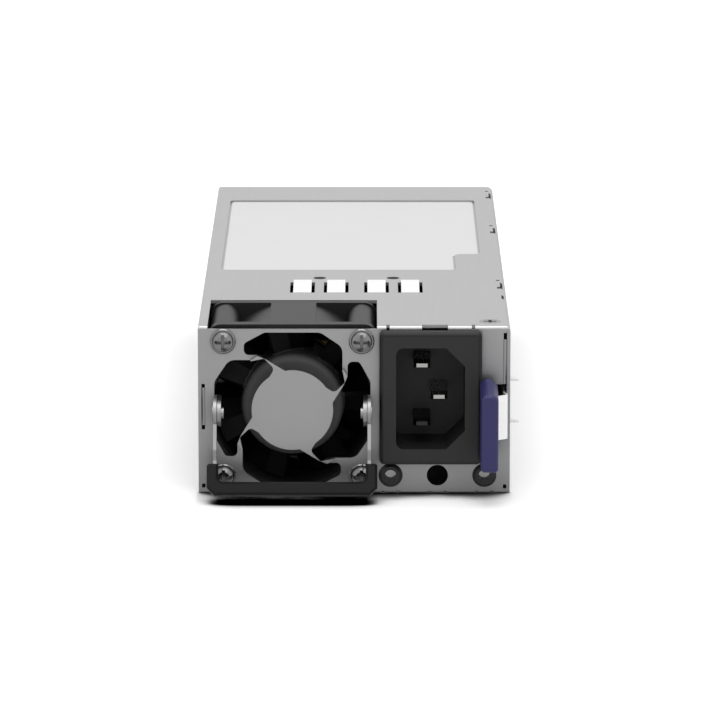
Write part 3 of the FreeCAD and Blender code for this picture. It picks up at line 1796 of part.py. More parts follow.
def make_latch_rivets():
    """Two rivets from the wall through the strip's rear end."""
    rivets = []
    inner = strip_x - d.latch_gauge / 2 - d.latch_head_gap
    head = inner - d.latch_rivet_height
    for z in latch_rivet_levels():
        centre = (latch_pivot_y, z)
        shank = rod("x", centre, (head, wall_in), d.latch_rivet_radius)
        cap = rod("x", centre, (head, inner), d.latch_rivet_head)
        rivets.append(fuse([shank, cap], "LatchRivet"))
    return keep("latch_rivets", group(rivets, "LatchRivets"))


def make_latch_tab():
    """Moulded thumb tab on the strip's front end, with a rounded crown that slopes to the front."""
    body = doc.addObject("PartDesign::Body", "TabBody")
    x0 = right - d.tab_left
    x1 = x0 + d.tab_width
    nose = front - d.tab_reach
    heel = front - d.tab_start
    low = d.tab_bottom
    crown = low + d.tab_height
    profile = new_sketch(body, "YZ_Plane", "TabProfile", x0)
    outline(profile, [(heel, low), (nose, low), (nose, crown), (heel, crown + d.tab_slope)])
    raised = pad(body, profile, d.tab_width)
    rounded = soften(
        body,
        raised,
        "Fillet",
        lambda a, b: near(a.x, b.x) and min(a.z, b.z) > float(crown) - 0.01,
        d.tab_top_round,
    )
    softened = soften(
        body,
        rounded,
        "Fillet",
        lambda a, b: near(a.x, b.x) and near(a.z, low) and near(b.z, low),
        d.tab_round,
    )
    soften(
        body,
        softened,
        "Fillet",
        lambda a, b: near(a.y, nose) and near(b.y, nose),
        d.tab_round,
    )
    channel = rounded_prism(strip_corners(float(d.fit_gap), float(d.latch_bottom - d.fit_gap)),
                            point(0, 0, d.latch_height + 2 * d.fit_gap))
    notch_x = strip_x - d.latch_jog - d.latch_gauge
    notch = block((notch_x, x1 + 1), (front - d.tab_notch, heel + 1), (low - 1, crown + d.tab_slope + 1))
    return keep("latch_tab", cut(body, [shaped(channel, "TabChannel"), notch], "LatchTab"))


# Main board and what stands on it.
def board_x():
    """The main board's span across the case."""
    return left + d.board_margin, right - d.board_margin


def board_hole_places():
    """Centres of the board's fixing holes."""
    x0, x1 = board_x()
    places = []
    for y in (board_y + d.board_hole_inset_y, board_end - d.board_hole_inset_y):
        for x in (x0 + d.board_hole_inset_x, x1 - d.board_hole_inset_x):
            places.append((x, y))
    return places


def make_main_board():
    """Main board with the card edge that leaves the case at the rear."""
    body = doc.addObject("PartDesign::Body", "BoardBody")
    profile = new_sketch(body, "XY_Plane", "BoardProfile", board_bottom)
    x0, x1 = board_x()
    half = d.edge_width / 2
    tip = rear + d.edge_reach
    corners = [
        (x0, board_y),
        (x1, board_y),
        (x1, board_end),
        (half, board_end),
        (half, tip),
        (-half, tip),
        (-half, board_end),
        (x0, board_end),
    ]
    outline(profile, corners)
    raised = pad(body, profile, d.board_thickness)
    soften(
        body,
        raised,
        "Chamfer",
        lambda a, b: near(a.y, tip) and near(b.y, tip) and near(a.z, b.z),
        d.board_thickness / 4,
    )
    tools = []
    for place_xy in board_hole_places():
        span = (board_bottom - 1, board_top + 1)
        tools.append(rod("z", place_xy, span, d.board_screw_radius + d.fit_gap))
    return keep("main_board", cut(body, tools, "MainBoard"))


def make_edge_contacts():
    """Gold contacts on both faces of the card edge."""
    contacts = []
    count = int(float(d.contact_count))
    pitch = d.edge_width / (count + 1)
    end = rear + d.edge_reach - d.board_thickness / 2
    for index in range(count):
        x = -d.edge_width / 2 + pitch * (index + 1)
        span_x = (x - d.contact_width / 2, x + d.contact_width / 2)
        span_y = (end - d.contact_length, end)
        contacts.append(block(span_x, span_y, (board_top, board_top + d.contact_thickness)))
        contacts.append(block(span_x, span_y, (board_bottom - d.contact_thickness, board_bottom)))
    return keep("edge_contacts", group(contacts, "EdgeContacts"))


def make_insulating_sheet():
    """Film between the floor and the board, cut out round the standoffs."""
    z = (d.sheet_gauge, d.sheet_gauge + d.sheet_liner)
    film = block(board_x(), (board_y, board_end), z)
    tools = [rod("z", at, z, d.standoff_radius + d.seam_gap) for at in board_hole_places()]
    return keep("insulating_sheet", cut(film, tools, "InsulatingSheet"))


def make_standoffs():
    """Threaded standoffs on the floor."""
    posts = []
    for at in board_hole_places():
        span = (d.sheet_gauge, board_bottom)
        post = rod("z", at, span, d.standoff_radius)
        posts.append(cut(post, [rod("z", at, span, d.board_screw_radius)], "Standoff"))
    return keep("standoffs", group(posts, "Standoffs"))


def make_board_screws():
    """Screws that hold the board to the standoffs."""
    screws = []
    for at in board_hole_places():
        shank = rod("z", at, (board_bottom - 2, board_top), d.board_screw_radius)
        head = rod("z", at, (board_top, board_top + d.board_screw_height), d.board_screw_head)
        screw = fuse([shank, head], "BoardScrewSolid")
        top = board_top + d.board_screw_height
        slots = cross_recess("z", at, (top - d.board_screw_height / 2, top + 1), d.board_screw_head)
        screws.append(cut(screw, slots, "BoardScrew"))
    return keep("board_screws", group(screws, "BoardScrews"))


def make_bulk_capacitors():
    """Two upright bulk capacitors that fill the width between the left wall and the devices."""
    first = left + d.sheet_gauge + d.bulk_side_gap
    radius = (device_x - d.bulk_device_gap - d.bulk_gap - first) / 4
    top = lid_under - d.bulk_headroom
    height = top - board_top
    cans = []
    for index in range(2):
        at = (first + radius + index * (2 * radius + d.bulk_gap), front + d.bulk_back)
        can = rod("z", at, (board_top, top), radius)
        level = board_top + height * 0.9
        span = (level, level + d.bulk_groove)
        core = rod("z", at, span, radius - d.bulk_groove / 2)
        groove = cut(rod("z", at, span, radius + 1), [core], "Groove")
        cans.append(cut(can, [groove], "BulkCapacitor"))
    return keep("bulk_capacitors", group(cans, "BulkCapacitors"))


def make_chokes():
    """Two toroidal chokes, each a core ring in its winding, on a base."""
    wall_side = left + d.sheet_gauge + d.pfc_side_gap
    pfc_radius = (transformer_x - winding_half - d.pfc_winding_gap - wall_side) / 2
    rows = (
        ("pfc_choke", wall_side + pfc_radius, d.pfc_back, pfc_radius, d.pfc_bore, d.pfc_height),
        ("emi_choke", emi_x(), d.emi_back, d.emi_radius, d.emi_bore, d.emi_height),
    )
    for label, x, back, radius, bore, height in rows:
        at = (x, front + back)
        base_z = (board_top, board_top + d.choke_base)
        ring_z = (base_z[1], base_z[1] + height)
        base = rod("z", at, base_z, radius - 1)
        ring = rod("z", at, ring_z, radius)
        hole = rod("z", at, ring_z, bore)
        keep(label + "_base", base)
        rounded = cut(ring, [hole], "ChokeRing")
        soft = doc.addObject("Part::Chamfer", "SoftRing")
        soft.Base = rounded
        doc.recompute()
        bevel = float(d.choke_bevel)
        edges = [n for n, edge in enumerate(rounded.Shape.Edges, start=1) if edge.Closed]
        soft.Edges = [(n, bevel, bevel) for n in edges]
        keep(label, soft)


def emi_x():
    """Centre of the mains filter choke across the case."""
    return right - d.emi_from_right


def make_film_capacitors():
    """Two boxed film capacitors across the mains."""
    boxes = []
    x0 = left + d.film_left
    x1 = emi_x() - d.emi_radius - d.film_choke_gap
    for index in range(2):
        y0 = front + d.film_back + index * (d.film_depth + d.film_gap)
        z = (board_top, board_top + d.film_height)
        boxes.append(block((x0, x1), (y0, y0 + d.film_depth), z, "FilmCapacitor"))
    return keep("film_capacitors", group(boxes, "FilmCapacitors"))


def make_fuse():
    """Mains fuse lying on the board, with its two end caps."""
    x0 = left + d.fuse_left
    x1 = x0 + d.fuse_length
    cap = d.fuse_radius + d.fuse_cap_wall
    centre = (front + d.fuse_back, board_top + cap)
    ends = []
    for start in (x0, x1 - d.fuse_cap_length):
        ends.append(rod("x", centre, (start, start + d.fuse_cap_length), cap))
    tube_x = (x0 + d.fuse_cap_length, x1 - d.fuse_cap_length)
    keep("fuse_tube", rod("x", centre, tube_x, d.fuse_radius, "FuseTube"))
    keep("fuse_caps", group(ends, "FuseCaps"))


def comb_corners(x0, side, height):
    """A heat sink's end profile: a plate with fins towards one side."""
    base = d.sink_base
    fin = d.sink_fin
    count = int(float(d.sink_fins))
    step = (height - fin) / (count - 1)
    tip = x0 + side * (base + d.sink_fin_reach)
    root = x0 + side * base
    corners = [(x0, board_top)]
    for index in range(count):
        low = board_top + step * index
        if index:
            corners.append((root, low))
        corners.append((tip, low))
        corners.append((tip, low + fin))
        if index < count - 1:
            corners.append((root, low + fin))
    corners.append((x0, board_top + height))
    return corners


def make_heat_sinks():
    """Two finned heat sinks, for the mains side and for the output side."""
    for label, start in zip(("primary_heat_sink", "output_heat_sink"), sink_starts()):
        body = doc.addObject("PartDesign::Body", "SinkBody")
        profile = new_sketch(body, "XZ_Plane", "SinkProfile", -start)
        outline(profile, comb_corners(sink_x, 1, d.sink_height))
        pad(body, profile, d.sink_length, reverse=True)
        keep(label, body)


def sink_starts():
    """Front ends of the two heat sinks along the case."""
    return front + d.sink_back, rear - d.output_sink_from_rear


def make_power_devices():
    """Transistors and the bridge rectifier, clamped against the heat sinks' flat faces."""
    devices = []
    step = d.switch_width + d.switch_gap
    z = (board_top + d.switch_rise, board_top + d.switch_rise + d.switch_height)
    for start, count in zip(sink_starts(), (2, 3)):
        for index in range(count):
            y0 = start + d.switch_start + index * step
            devices.append(block((device_x, sink_x), (y0, y0 + d.switch_width), z, "Switch"))
    keep("power_transistors", group(devices, "PowerTransistors"))
    y0 = sink_starts()[0] + 2 * d.switch_start + 2 * step
    z0 = board_top + d.bridge_rise
    span_y = (y0, y0 + d.bridge_length)
    bridge = block((sink_x - d.bridge_width, sink_x), span_y, (z0, z0 + d.bridge_height), "BridgeRectifier")
    keep("bridge_rectifier", bridge)


def make_transformer():
    """Main transformer: a ferrite frame with its winding round the middle leg."""
    centre_x = transformer_x
    y0 = front + d.transformer_back
    y1 = y0 + d.transformer_length
    leg = d.core_leg
    z0 = board_top
    z1 = z0 + d.transformer_height
    middle = (y0 + y1) / 2
    body = doc.addObject("PartDesign::Body", "CoreBody")
    profile = new_sketch(body, "YZ_Plane", "CoreProfile", centre_x)
    oblong(profile, (y0, y1), (z0, z1))
    pad(body, profile, d.core_depth, midplane=True)
    windows = new_sketch(body, "YZ_Plane", "CoreWindows", centre_x)
    oblong(windows, (y0 + leg, middle - leg / 2), (z0 + leg, z1 - leg))
    oblong(windows, (middle + leg / 2, y1 - leg), (z0 + leg, z1 - leg))
    pocket(body, windows, d.core_depth + 2, midplane=True)
    keep("transformer_core", body)
    gap = d.fit_gap
    inner_x = d.core_depth / 2 + gap
    wall = winding_wall
    z = (z0 + leg + gap, z1 - leg - gap)
    span_x = (centre_x - inner_x - wall, centre_x + inner_x + wall)
    span_y = (middle - leg / 2 - gap - wall, middle + leg / 2 + gap + wall)
    outer = block(span_x, span_y, z)
    hole = block((centre_x - inner_x, centre_x + inner_x), (middle - leg / 2 - gap, middle + leg / 2 + gap), z)
    keep("transformer_winding", cut(outer, [hole], "TransformerWinding"))


def make_standby_transformer():
    """Small transformer of the standby supply."""
    x0 = left + d.standby_left
    y0 = rear - d.standby_from_rear
    z = (board_top, board_top + d.standby_height)
    core = block((x0, x0 + d.standby_size), (y0, y0 + d.standby_size), z)
    return keep("standby_transformer", core)


def make_output_capacitors():
    """Rows of output capacitors near the card edge, spread between the left wall and the devices."""
    cans = []
    side = left + d.sheet_gauge + d.output_side_gap
    pitch = (device_x - d.output_device_gap - side + d.output_can_gap) / d.output_columns
    radius = (pitch - d.output_can_gap) / 2
    for row in range(int(float(d.output_rows))):
        for column in range(int(float(d.output_columns))):
            x = side + radius + column * pitch
            y = rear - d.output_from_rear + row * pitch
            cans.append(rod("z", (x, y), (board_top, board_top + d.output_height), radius, "OutputCan"))
    return keep("output_capacitors", group(cans, "OutputCapacitors"))


def make_control_board():
    """Upright control board in the main board."""
    x0 = left + d.control_left
    y0 = rear - d.control_from_rear
    span_x = (x0, device_x - d.control_device_gap)
    span_y = (y0, y0 + d.control_thickness)
    z = (board_top, board_top + d.control_height)
    return keep("control_board", block(span_x, span_y, z, "ControlBoard"))


def build_all():
    """Make every sub-part."""
    make_base_tray()
    make_top_cover()
    make_front_panel()
    make_handle_ears()
    make_rear_panel()
    make_rating_label()
    make_lid_screw()
    make_side_screws()
    make_fan_frame()
    make_fan_rotor()
    make_fan_magnet()
    make_stator_core()
    make_stator_coils()
    make_fan_bearings()
    make_fan_shaft()
    make_fan_screws()
    make_handle_strap()
    make_handle_grip()
    make_handle_rivets()
    make_inlet_housing()
    make_pins()
    make_lamps()
    make_latch_spring()
    make_latch_rivets()
    make_latch_tab()
    make_main_board()
    make_edge_contacts()
    make_insulating_sheet()
    make_standoffs()
    make_board_screws()
    make_bulk_capacitors()
    make_chokes()
    make_film_capacitors()
    make_fuse()
    make_heat_sinks()
    make_power_devices()
    make_transformer()
    make_standby_transformer()
    make_output_capacitors()
    make_control_board()


def check_document():
    """Stop if any object failed, or a sub-part has no valid shape."""
    for item in doc.Objects:
        if "Invalid" in item.State or "Error" in item.State:
            raise ValueError(f"{item.Name} failed: {item.State}")
    for item in nodes:
        if item.Shape.isNull() or not item.Shape.isValid() or not item.Shape.Solids:
            raise ValueError(f"{item.Label} has no valid shape")


def write_parts():
    """Write each sub-part to its own file."""
    os.makedirs("parts", exist_ok=True)
    for item in nodes:
        item.Shape.exportStep(f"parts/{item.Label}.step")


build_all()
doc.recompute()
check_document()
write_parts()
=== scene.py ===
"""Looks of the hot swap server power supply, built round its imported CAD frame. Metres."""
import json
import math

import bpy
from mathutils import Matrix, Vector

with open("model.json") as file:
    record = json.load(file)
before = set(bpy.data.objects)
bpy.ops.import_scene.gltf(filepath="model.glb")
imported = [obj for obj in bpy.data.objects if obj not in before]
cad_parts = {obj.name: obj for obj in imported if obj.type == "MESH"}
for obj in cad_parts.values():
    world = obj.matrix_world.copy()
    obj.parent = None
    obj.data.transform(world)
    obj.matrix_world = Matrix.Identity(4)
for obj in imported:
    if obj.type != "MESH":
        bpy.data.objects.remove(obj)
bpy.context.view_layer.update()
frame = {"nodes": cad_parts, "record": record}
nodes = frame["nodes"]
SLOT_OF = {row["node"]: row["material_slot"] for row in frame["record"]["subparts"]}
JOINT_PLACE = {row["name"]: row["pos_m"] for row in frame["record"]["behaviour"]["joints"]}
MM = 0.001

# Sizes and places of the CAD part that the looks are tied to.
CASE_LENGTH = 185 * MM
CASE_TOP = 40 * MM
PANEL_Y = -CASE_LENGTH / 2
FAN_X = JOINT_PLACE["fan_spin"][0]
FAN_Z = JOINT_PLACE["fan_spin"][2]
HUB_RADIUS = 12 * MM
SCREW_OFFSET = 16.3 * MM         # from the fan's axis, across and up
BAIL_HALF = 19 * MM              # from the fan's axis to the side of the grip
TONGUE_LEFT_X = -12.65 * MM      # first of two pairs of tongues in the lid
TONGUE_SPREAD = 8.2 * MM
TONGUE_PITCH = 18 * MM
TONGUE_HALF = 2.3 * MM
TONGUE_SPAN = (PANEL_Y + 40.2 * MM, PANEL_Y + 52.4 * MM)


# Colours.
def linear(value):
    """One display channel, 0 to 255, as a linear number."""
    share = value / 255
    if share <= 0.04045:
        return share / 12.92
    return ((share + 0.055) / 1.055) ** 2.4


def colour(red, green, blue):
    """A display colour, 0 to 255 per channel, as linear red, green, blue and alpha."""
    return linear(red), linear(green), linear(blue), 1.0


def grey(level):
    """A linear grey, from 0 for black to 1 for white."""
    return level, level, level, 1.0


def shade(base, share):
    """A colour made lighter or darker by a share."""
    return tuple(min(1.0, channel * share) for channel in base[:3]) + (1.0,)


WHITE = grey(1.0)
BLACK = grey(0.0)
STEEL = colour(162, 162, 163)
# The lid's steel is the case steel made lighter: painted light for its top, which faces the light.
LID_STEEL_LIT = colour(182, 182, 183)
# The bail's steel is the case steel made darker: painted shade for the shadow round the bail.
BAIL_STEEL_SHADED = colour(146, 146, 147)
INLET_BLACK = colour(30, 30, 31)
# Near white for painted highlights.
HIGHLIGHT_WHITE = colour(254, 254, 254)
# Near black for painted shade.
PAINTED_SHADE_BLACK = colour(26, 26, 26)


# Shader helpers.
class Graph:
    """A node tree, with short calls to add and join nodes."""

    def __init__(self, tree):
        self.tree = tree

    def add(self, kind, **values):
        """A new node; values set its inputs by name, with spaces written as underscores."""
        node = self.tree.nodes.new(kind)
        for key, value in values.items():
            node.inputs[key.replace("_", " ")].default_value = value
        return node

    def join(self, output, target):
        """Link an output to an input."""
        self.tree.links.new(output, target)

    def along_axes(self, kind):
        """A coordinate of the given kind, as a node with outputs X, Y and Z."""
        source = self.add("ShaderNodeTexCoord")
        parts = self.add("ShaderNodeSeparateXYZ")
        self.join(source.outputs[kind], parts.inputs[0])
        return parts

    def ramp(self, value, stops):
        """A colour ramp through (position, colour) stops."""
        node = self.add("ShaderNodeValToRGB")
        self.join(value, node.inputs["Fac"])
        elements = node.color_ramp.elements
        while len(elements) < len(stops):
            elements.new(0.5)
        for element, (position, tone) in zip(elements, stops):
            element.position = position
            element.color = tone
        return node.outputs["Color"]

    def remap(self, value, start, end, low=0.0, high=1.0):
        """A value moved from the range start to end into low to high, and held at both ends."""
        node = self.add("ShaderNodeMapRange", From_Min=start, From_Max=end, To_Min=low, To_Max=high)
        self.join(value, node.inputs["Value"])
        return node.outputs["Result"]

    def combine(self, operation, first, second):
        """A math operation on two values; no first value leaves the second as it is."""
        if first is None:
            return second
        node = self.add("ShaderNodeMath")
        node.operation = operation
        self.join(first, node.inputs[0])
        self.join(second, node.inputs[1])
        return node.outputs[0]

    def choose(self, share, first, second):
        """First shader where share is 0 and second where it is 1."""
        node = self.add("ShaderNodeMixShader")
        for output, target in zip((share, first, second), node.inputs):
            self.join(output, target)
        return node.outputs[0]


class Shader(Graph):
    """A new material's node tree."""

    def __init__(self, name):
        self.material = bpy.data.materials.new(name)
        self.material.use_nodes = True
        super().__init__(self.material.node_tree)
        self.surface = self.tree.nodes["Principled BSDF"]

    def fix(self, **values):
        """Set plain numbers on the surface's own sockets."""
        for key, value in values.items():
            self.surface.inputs[key.replace("_", " ")].default_value = value

    def feed(self, name, output):
        """Link an output to one of the surface's sockets."""
        self.join(output, self.surface.inputs[name])

    def position(self, scale=(1, 1, 1)):
        """Object coordinates, stretched along each axis."""
        source = self.add("ShaderNodeTexCoord")
        mapping = self.add("ShaderNodeMapping", Scale=scale)
        self.join(source.outputs["Object"], mapping.inputs["Vector"])
        return mapping.outputs["Vector"]

    def noise(self, scale, detail=4.0, stretch=(1, 1, 1)):
        """Noise over the object; scale counts features per metre."""
        node = self.add("ShaderNodeTexNoise", Scale=scale, Detail=detail, Roughness=0.55)
        self.join(self.position(stretch), node.inputs["Vector"])
        return node.outputs["Fac"]

    def inside(self, low, high, soft):
        """1 inside a box of object coordinates and 0 outside, with a soft edge; None leaves a side open."""
        parts = self.along_axes("Object")
        product = None
        for axis, start, end in zip("XYZ", low, high):
            for edge, sign in ((start, 1), (end, -1)):
                if edge is None:
                    continue
                step = self.remap(parts.outputs[axis], edge - sign * soft, edge + sign * soft)
                product = self.combine("MULTIPLY", product, step)
        return product

    def inside_any(self, boxes, soft):
        """1 inside any of several boxes; None where there are no boxes."""
        mask = None
        for low, high in boxes:
            mask = self.combine("MAXIMUM", mask, self.inside(low, high, soft))
        return mask

    def blend(self, share, first, second):
        """First colour where share is 0 and second where it is 1."""
        node = self.add("ShaderNodeMix")
        node.data_type = "RGBA"
        self.join(share, node.inputs["Factor"])
        colour_inputs = [socket for socket in node.inputs if socket.enabled and socket.type == "RGBA"]
        for value, socket in zip((first, second), colour_inputs):
            if isinstance(value, tuple):
                socket.default_value = value
            else:
                self.join(value, socket)
        return next(socket for socket in node.outputs if socket.enabled)

    def openness(self, distance, samples=16):
        """How open the surroundings are, from 0 in a closed corner to 1, as far as a distance."""
        node = self.add("ShaderNodeAmbientOcclusion", Distance=distance)
        node.samples = samples
        return node.outputs["AO"]

    def bump(self, height, distance, strength=1.0):
        """Relief on the surface, in metres."""
        node = self.add("ShaderNodeBump", Distance=distance, Strength=strength)
        self.join(height, node.inputs["Height"])
        self.feed("Normal", node.outputs["Normal"])


# Materials. Grain counts features per metre, and a stretch draws the grain out along an axis.
ROLLED_GRAIN = 900.0
FINE_GRAIN = 1400.0
STACKED_GRAIN = 1800.0
SINTERED_GRAIN = 2400.0
MOULDED_GRAIN = 2600.0
CLOUD_GRAIN = 40.0
MOTTLE_GRAIN = 120.0
HAZE_GRAIN = 900.0
TRACK_GRAIN = 260.0
EVEN = (1, 1, 1)
ALONG_X = (0.04, 1, 1)
ALONG_Y = (1, 0.04, 1)
ALONG_Z = (1, 1, 0.04)
SPRING_ALONG_Z = (1, 1, 0.05)
BLADE_ALONG_Y = (1, 0.1, 1)
STACKED_IN_Y = (0.05, 1, 0.05)
BOX_EDGE = 0.05 * MM
FACE_EDGE = 0.15 * MM
RIM_SHADE_SHARE = 0.2
# How far the painted shade in closed corners looks for nearby surfaces.
CORNER_SHADE_REACH = 12 * MM


def sheet_metal(
    name, base, roughness, stretch, grain=ROLLED_GRAIN, relief=1.5e-6, highlight_boxes=(), shade_boxes=(), corner=None,
):
    """Plated or stainless sheet: fine rolled grain along one axis, faint cloudiness, boxes of painted
    highlight and boxes of painted shade.

    Corner is the share of the base colour that is left in a closed corner, where shade is painted into the
    colour.
    """
    made = Shader(name)
    cloud = made.noise(CLOUD_GRAIN, detail=3.0)
    tone = made.ramp(cloud, [(0.25, shade(base, 0.985)), (0.75, shade(base, 1.015))])
    # Boxes of painted highlight turn near white, and boxes of painted shade turn near black.
    for boxes, value in ((highlight_boxes, HIGHLIGHT_WHITE), (shade_boxes, PAINTED_SHADE_BLACK)):
        mask = made.inside_any(boxes, BOX_EDGE)
        if mask is not None:
            tone = made.blend(mask, tone, value)
    # Painted shade: the base colour darkens where the surroundings are closed in.
    if corner is not None:
        corner_shade_share = made.remap(made.openness(CORNER_SHADE_REACH), 0.0, 1.0, 1.0 - corner, 0.0)
        tone = made.blend(corner_shade_share, tone, BLACK)
    made.feed("Base Color", tone)
    lines = made.noise(grain, detail=2.0, stretch=stretch)
    made.feed("Roughness", made.remap(lines, 0.0, 1.0, roughness - 0.02, roughness + 0.04))
    made.bump(lines, relief)
    made.fix(Metallic=1.0)
    return made.material


def moulding(name, base, roughness, relief=6e-6, coat=0.0, mottle=0.12, gloss=0.4, face=None):
    """Moulded plastic: fine spark-eroded texture and a faint mottle; outside a face's box it is darker, as
    painted shade.
    """
    made = Shader(name)
    cloud = made.noise(MOTTLE_GRAIN, detail=3.0)
    tone = made.ramp(cloud, [(0.2, shade(base, 1 - mottle)), (0.8, shade(base, 1 + mottle))])
    if face is not None:
        # Painted shade outside the face's box.
        tone = made.blend(made.inside(*face, FACE_EDGE), shade(base, RIM_SHADE_SHARE), tone)
    made.feed("Base Color", tone)
    texture = made.noise(MOULDED_GRAIN, detail=2.0)
    made.feed("Roughness", made.remap(texture, 0.0, 1.0, roughness - 0.04, roughness + 0.08))
    made.bump(texture, relief)
    made.fix(Coat_Weight=coat, Coat_Roughness=0.2, Specular_IOR_Level=gloss)
    return made.material


def rotor_moulding(name, hub, blade, edge):
    """The fan rotor's plastic, all one black moulding: a lighter colour out to the hub's edge, painted light
    on the hub's face, and a darker one beyond it, painted shade on the blades.
    """
    made = Shader(name)
    source = made.add("ShaderNodeTexCoord")
    vector = source.outputs["Object"]
    for operation, constant in (("SUBTRACT", (FAN_X, 0, FAN_Z)), ("MULTIPLY", (1, 0, 1))):
        step = made.add("ShaderNodeVectorMath")
        step.operation = operation
        made.join(vector, step.inputs[0])
        step.inputs[1].default_value = constant
        vector = step.outputs["Vector"]
    radius = made.add("ShaderNodeVectorMath")
    radius.operation = "LENGTH"
    made.join(vector, radius.inputs[0])
    share = made.remap(radius.outputs["Value"], edge, edge + 0.4 * MM)
    # Painted light on the hub, painted shade on the blades.
    made.feed("Base Color", made.ramp(share, [(0.0, hub), (1.0, blade)]))
    texture = made.noise(MOULDED_GRAIN, detail=2.0)
    made.feed("Roughness", made.remap(texture, 0.0, 1.0, 0.44, 0.56))
    made.bump(texture, 6e-6)
    made.fix(Specular_IOR_Level=0.15)
    return made.material


def ribbed_tab(name, base, pitch):
    """The thumb tab's plastic, with fine upright ribs, drawn as bump and as painted light and shade in the
    colour.
    """
    made = Shader(name)
    wave = made.add("ShaderNodeTexWave", Scale=math.pi / 10 / pitch, Distortion=0.0, Detail=0.0)
    wave.bands_direction = "X"
    made.join(made.position(), wave.inputs["Vector"])
    ribs = wave.outputs["Fac"]
    # Painted light and shade: the colour lightens and darkens across each rib.
    made.feed("Base Color", made.ramp(ribs, [(0.0, shade(base, 0.76)), (1.0, shade(base, 1.18))]))
    made.bump(ribs, 0.04 * MM, 0.8)
    texture = made.noise(MOULDED_GRAIN)
    made.feed("Roughness", made.remap(texture, 0.0, 1.0, 0.38, 0.5))
    made.fix(Specular_IOR_Level=0.45)
    return made.material


def winding_wire(name, base, wire):
    """Enamelled wire of a given thickness, laid side by side round a core, darker between the turns as
    painted shade.
    """
    made = Shader(name)
    wave = made.add("ShaderNodeTexWave", Scale=1 / wire / 2, Distortion=0.4, Detail=1.0)
    made.join(made.position(), wave.inputs["Vector"])
    turns = wave.outputs["Fac"]
    # Painted shade in the grooves between the turns.
    made.feed("Base Color", made.ramp(turns, [(0.0, shade(base, 0.45)), (0.6, base)]))
    made.bump(turns, wire / 3)
    made.fix(Metallic=0.6, Roughness=0.32, Coat_Weight=0.6)
    return made.material


def laminate(name, base):
    """Circuit board with its solder mask over a faint copper pattern."""
    made = Shader(name)
    cells = made.add("ShaderNodeTexVoronoi", Scale=TRACK_GRAIN)
    cells.distance = "MANHATTAN"
    made.join(made.position(), cells.inputs["Vector"])
    tracks = cells.outputs["Distance"]
    made.feed("Base Color", made.ramp(tracks, [(0.35, shade(base, 1.35)), (0.42, base)]))
    made.bump(tracks, 0.03 * MM, 0.4)
    made.fix(Roughness=0.34, Coat_Weight=0.35)
    return made.material


def lamp_lens(name):
    """A slightly grey, cloudy lens that lets some light through and glows a little; the glow is painted
    light that brightens it deep in its bezel.
    """
    made = Shader(name)
    haze = made.noise(HAZE_GRAIN)
    made.feed("Roughness", made.remap(haze, 0.0, 1.0, 0.08, 0.2))
    made.feed("Base Color", made.ramp(haze, [(0.3, colour(196, 200, 196)), (0.7, colour(214, 218, 214))]))
    # Painted light: a faint glow that brightens the lens in its deep bezel.
    made.fix(Transmission_Weight=0.2, IOR=1.49, Emission_Color=WHITE, Emission_Strength=0.15)
    return made.material


MATERIALS = {
    "case_steel": sheet_metal("zinc_plated_steel", STEEL, 0.36, ALONG_Y),
    "screw_steel": sheet_metal("nickel_plated_steel", colour(138, 138, 138), 0.26, EVEN, FINE_GRAIN),
    "spring_steel": sheet_metal("stainless_spring", colour(254, 254, 254), 0.6, SPRING_ALONG_Z),
    "black_moulding": moulding("inlet_black", INLET_BLACK, 0.46),
    "fan_moulding": moulding("fan_black", colour(27, 27, 28), 0.44, gloss=0.32),
    "grip_moulding": moulding("grip_black", colour(8, 8, 9), 0.42, gloss=0.21),
    "violet_moulding": ribbed_tab("tab_violet", colour(42, 41, 93), 0.5 * MM),
    "pin_metal": sheet_metal("nickel_blade", colour(180, 180, 178), 0.26, BLADE_ALONG_Y),
    "lens": lamp_lens("lamp_lens"),
    "label_film": moulding(
        "blank_label", colour(221, 221, 221), 0.5, relief=2e-6, mottle=0.008, gloss=0.3,
    ),
    "board_laminate": laminate("solder_mask", colour(20, 84, 44)),
    "gold_contact": sheet_metal("hard_gold", colour(222, 184, 96), 0.22, BLADE_ALONG_Y),
    "liner_film": moulding("liner_film", colour(190, 190, 180), 0.25, coat=0.4),
    "bearing_bronze": sheet_metal("sintered_bronze", colour(184, 140, 92), 0.4, EVEN, SINTERED_GRAIN),
    "magnet_ferrite": moulding("bonded_ferrite", colour(58, 58, 60), 0.55),
    "lamination": sheet_metal("laminations", colour(150, 152, 156), 0.38, STACKED_IN_Y, STACKED_GRAIN),
    "copper_wire": winding_wire("copper_wire", colour(140, 72, 40), 1.1 * MM),
    "ferrite": moulding("sintered_ferrite", colour(66, 67, 70), 0.52, relief=3e-5),
    "capacitor_sleeve": moulding("capacitor_sleeve", colour(44, 45, 52), 0.28, coat=0.5),
    "film_box": moulding("film_box", colour(196, 158, 60), 0.38),
    "fuse_body": moulding("fuse_ceramic", colour(214, 212, 204), 0.35),
    "heat_sink_metal": sheet_metal("extruded_aluminium", colour(198, 199, 201), 0.38, ALONG_Y),
    "device_epoxy": moulding("device_epoxy", colour(36, 36, 37), 0.5),
}

# Painted highlights on the tops of the lid's four tongues, painted shade at the ends of the fan screws'
# cross recesses, and the inlet's face inside its rim of painted shade. Each is a box of object coordinates.
TONGUE_TOP_HIGHLIGHTS = [
    ((x - TONGUE_HALF, TONGUE_SPAN[0], CASE_TOP - 0.1 * MM), (x + TONGUE_HALF, TONGUE_SPAN[1], None))
    for pair in range(2)
    for x in (TONGUE_LEFT_X + pair * TONGUE_PITCH, TONGUE_LEFT_X + pair * TONGUE_PITCH + TONGUE_SPREAD)
]
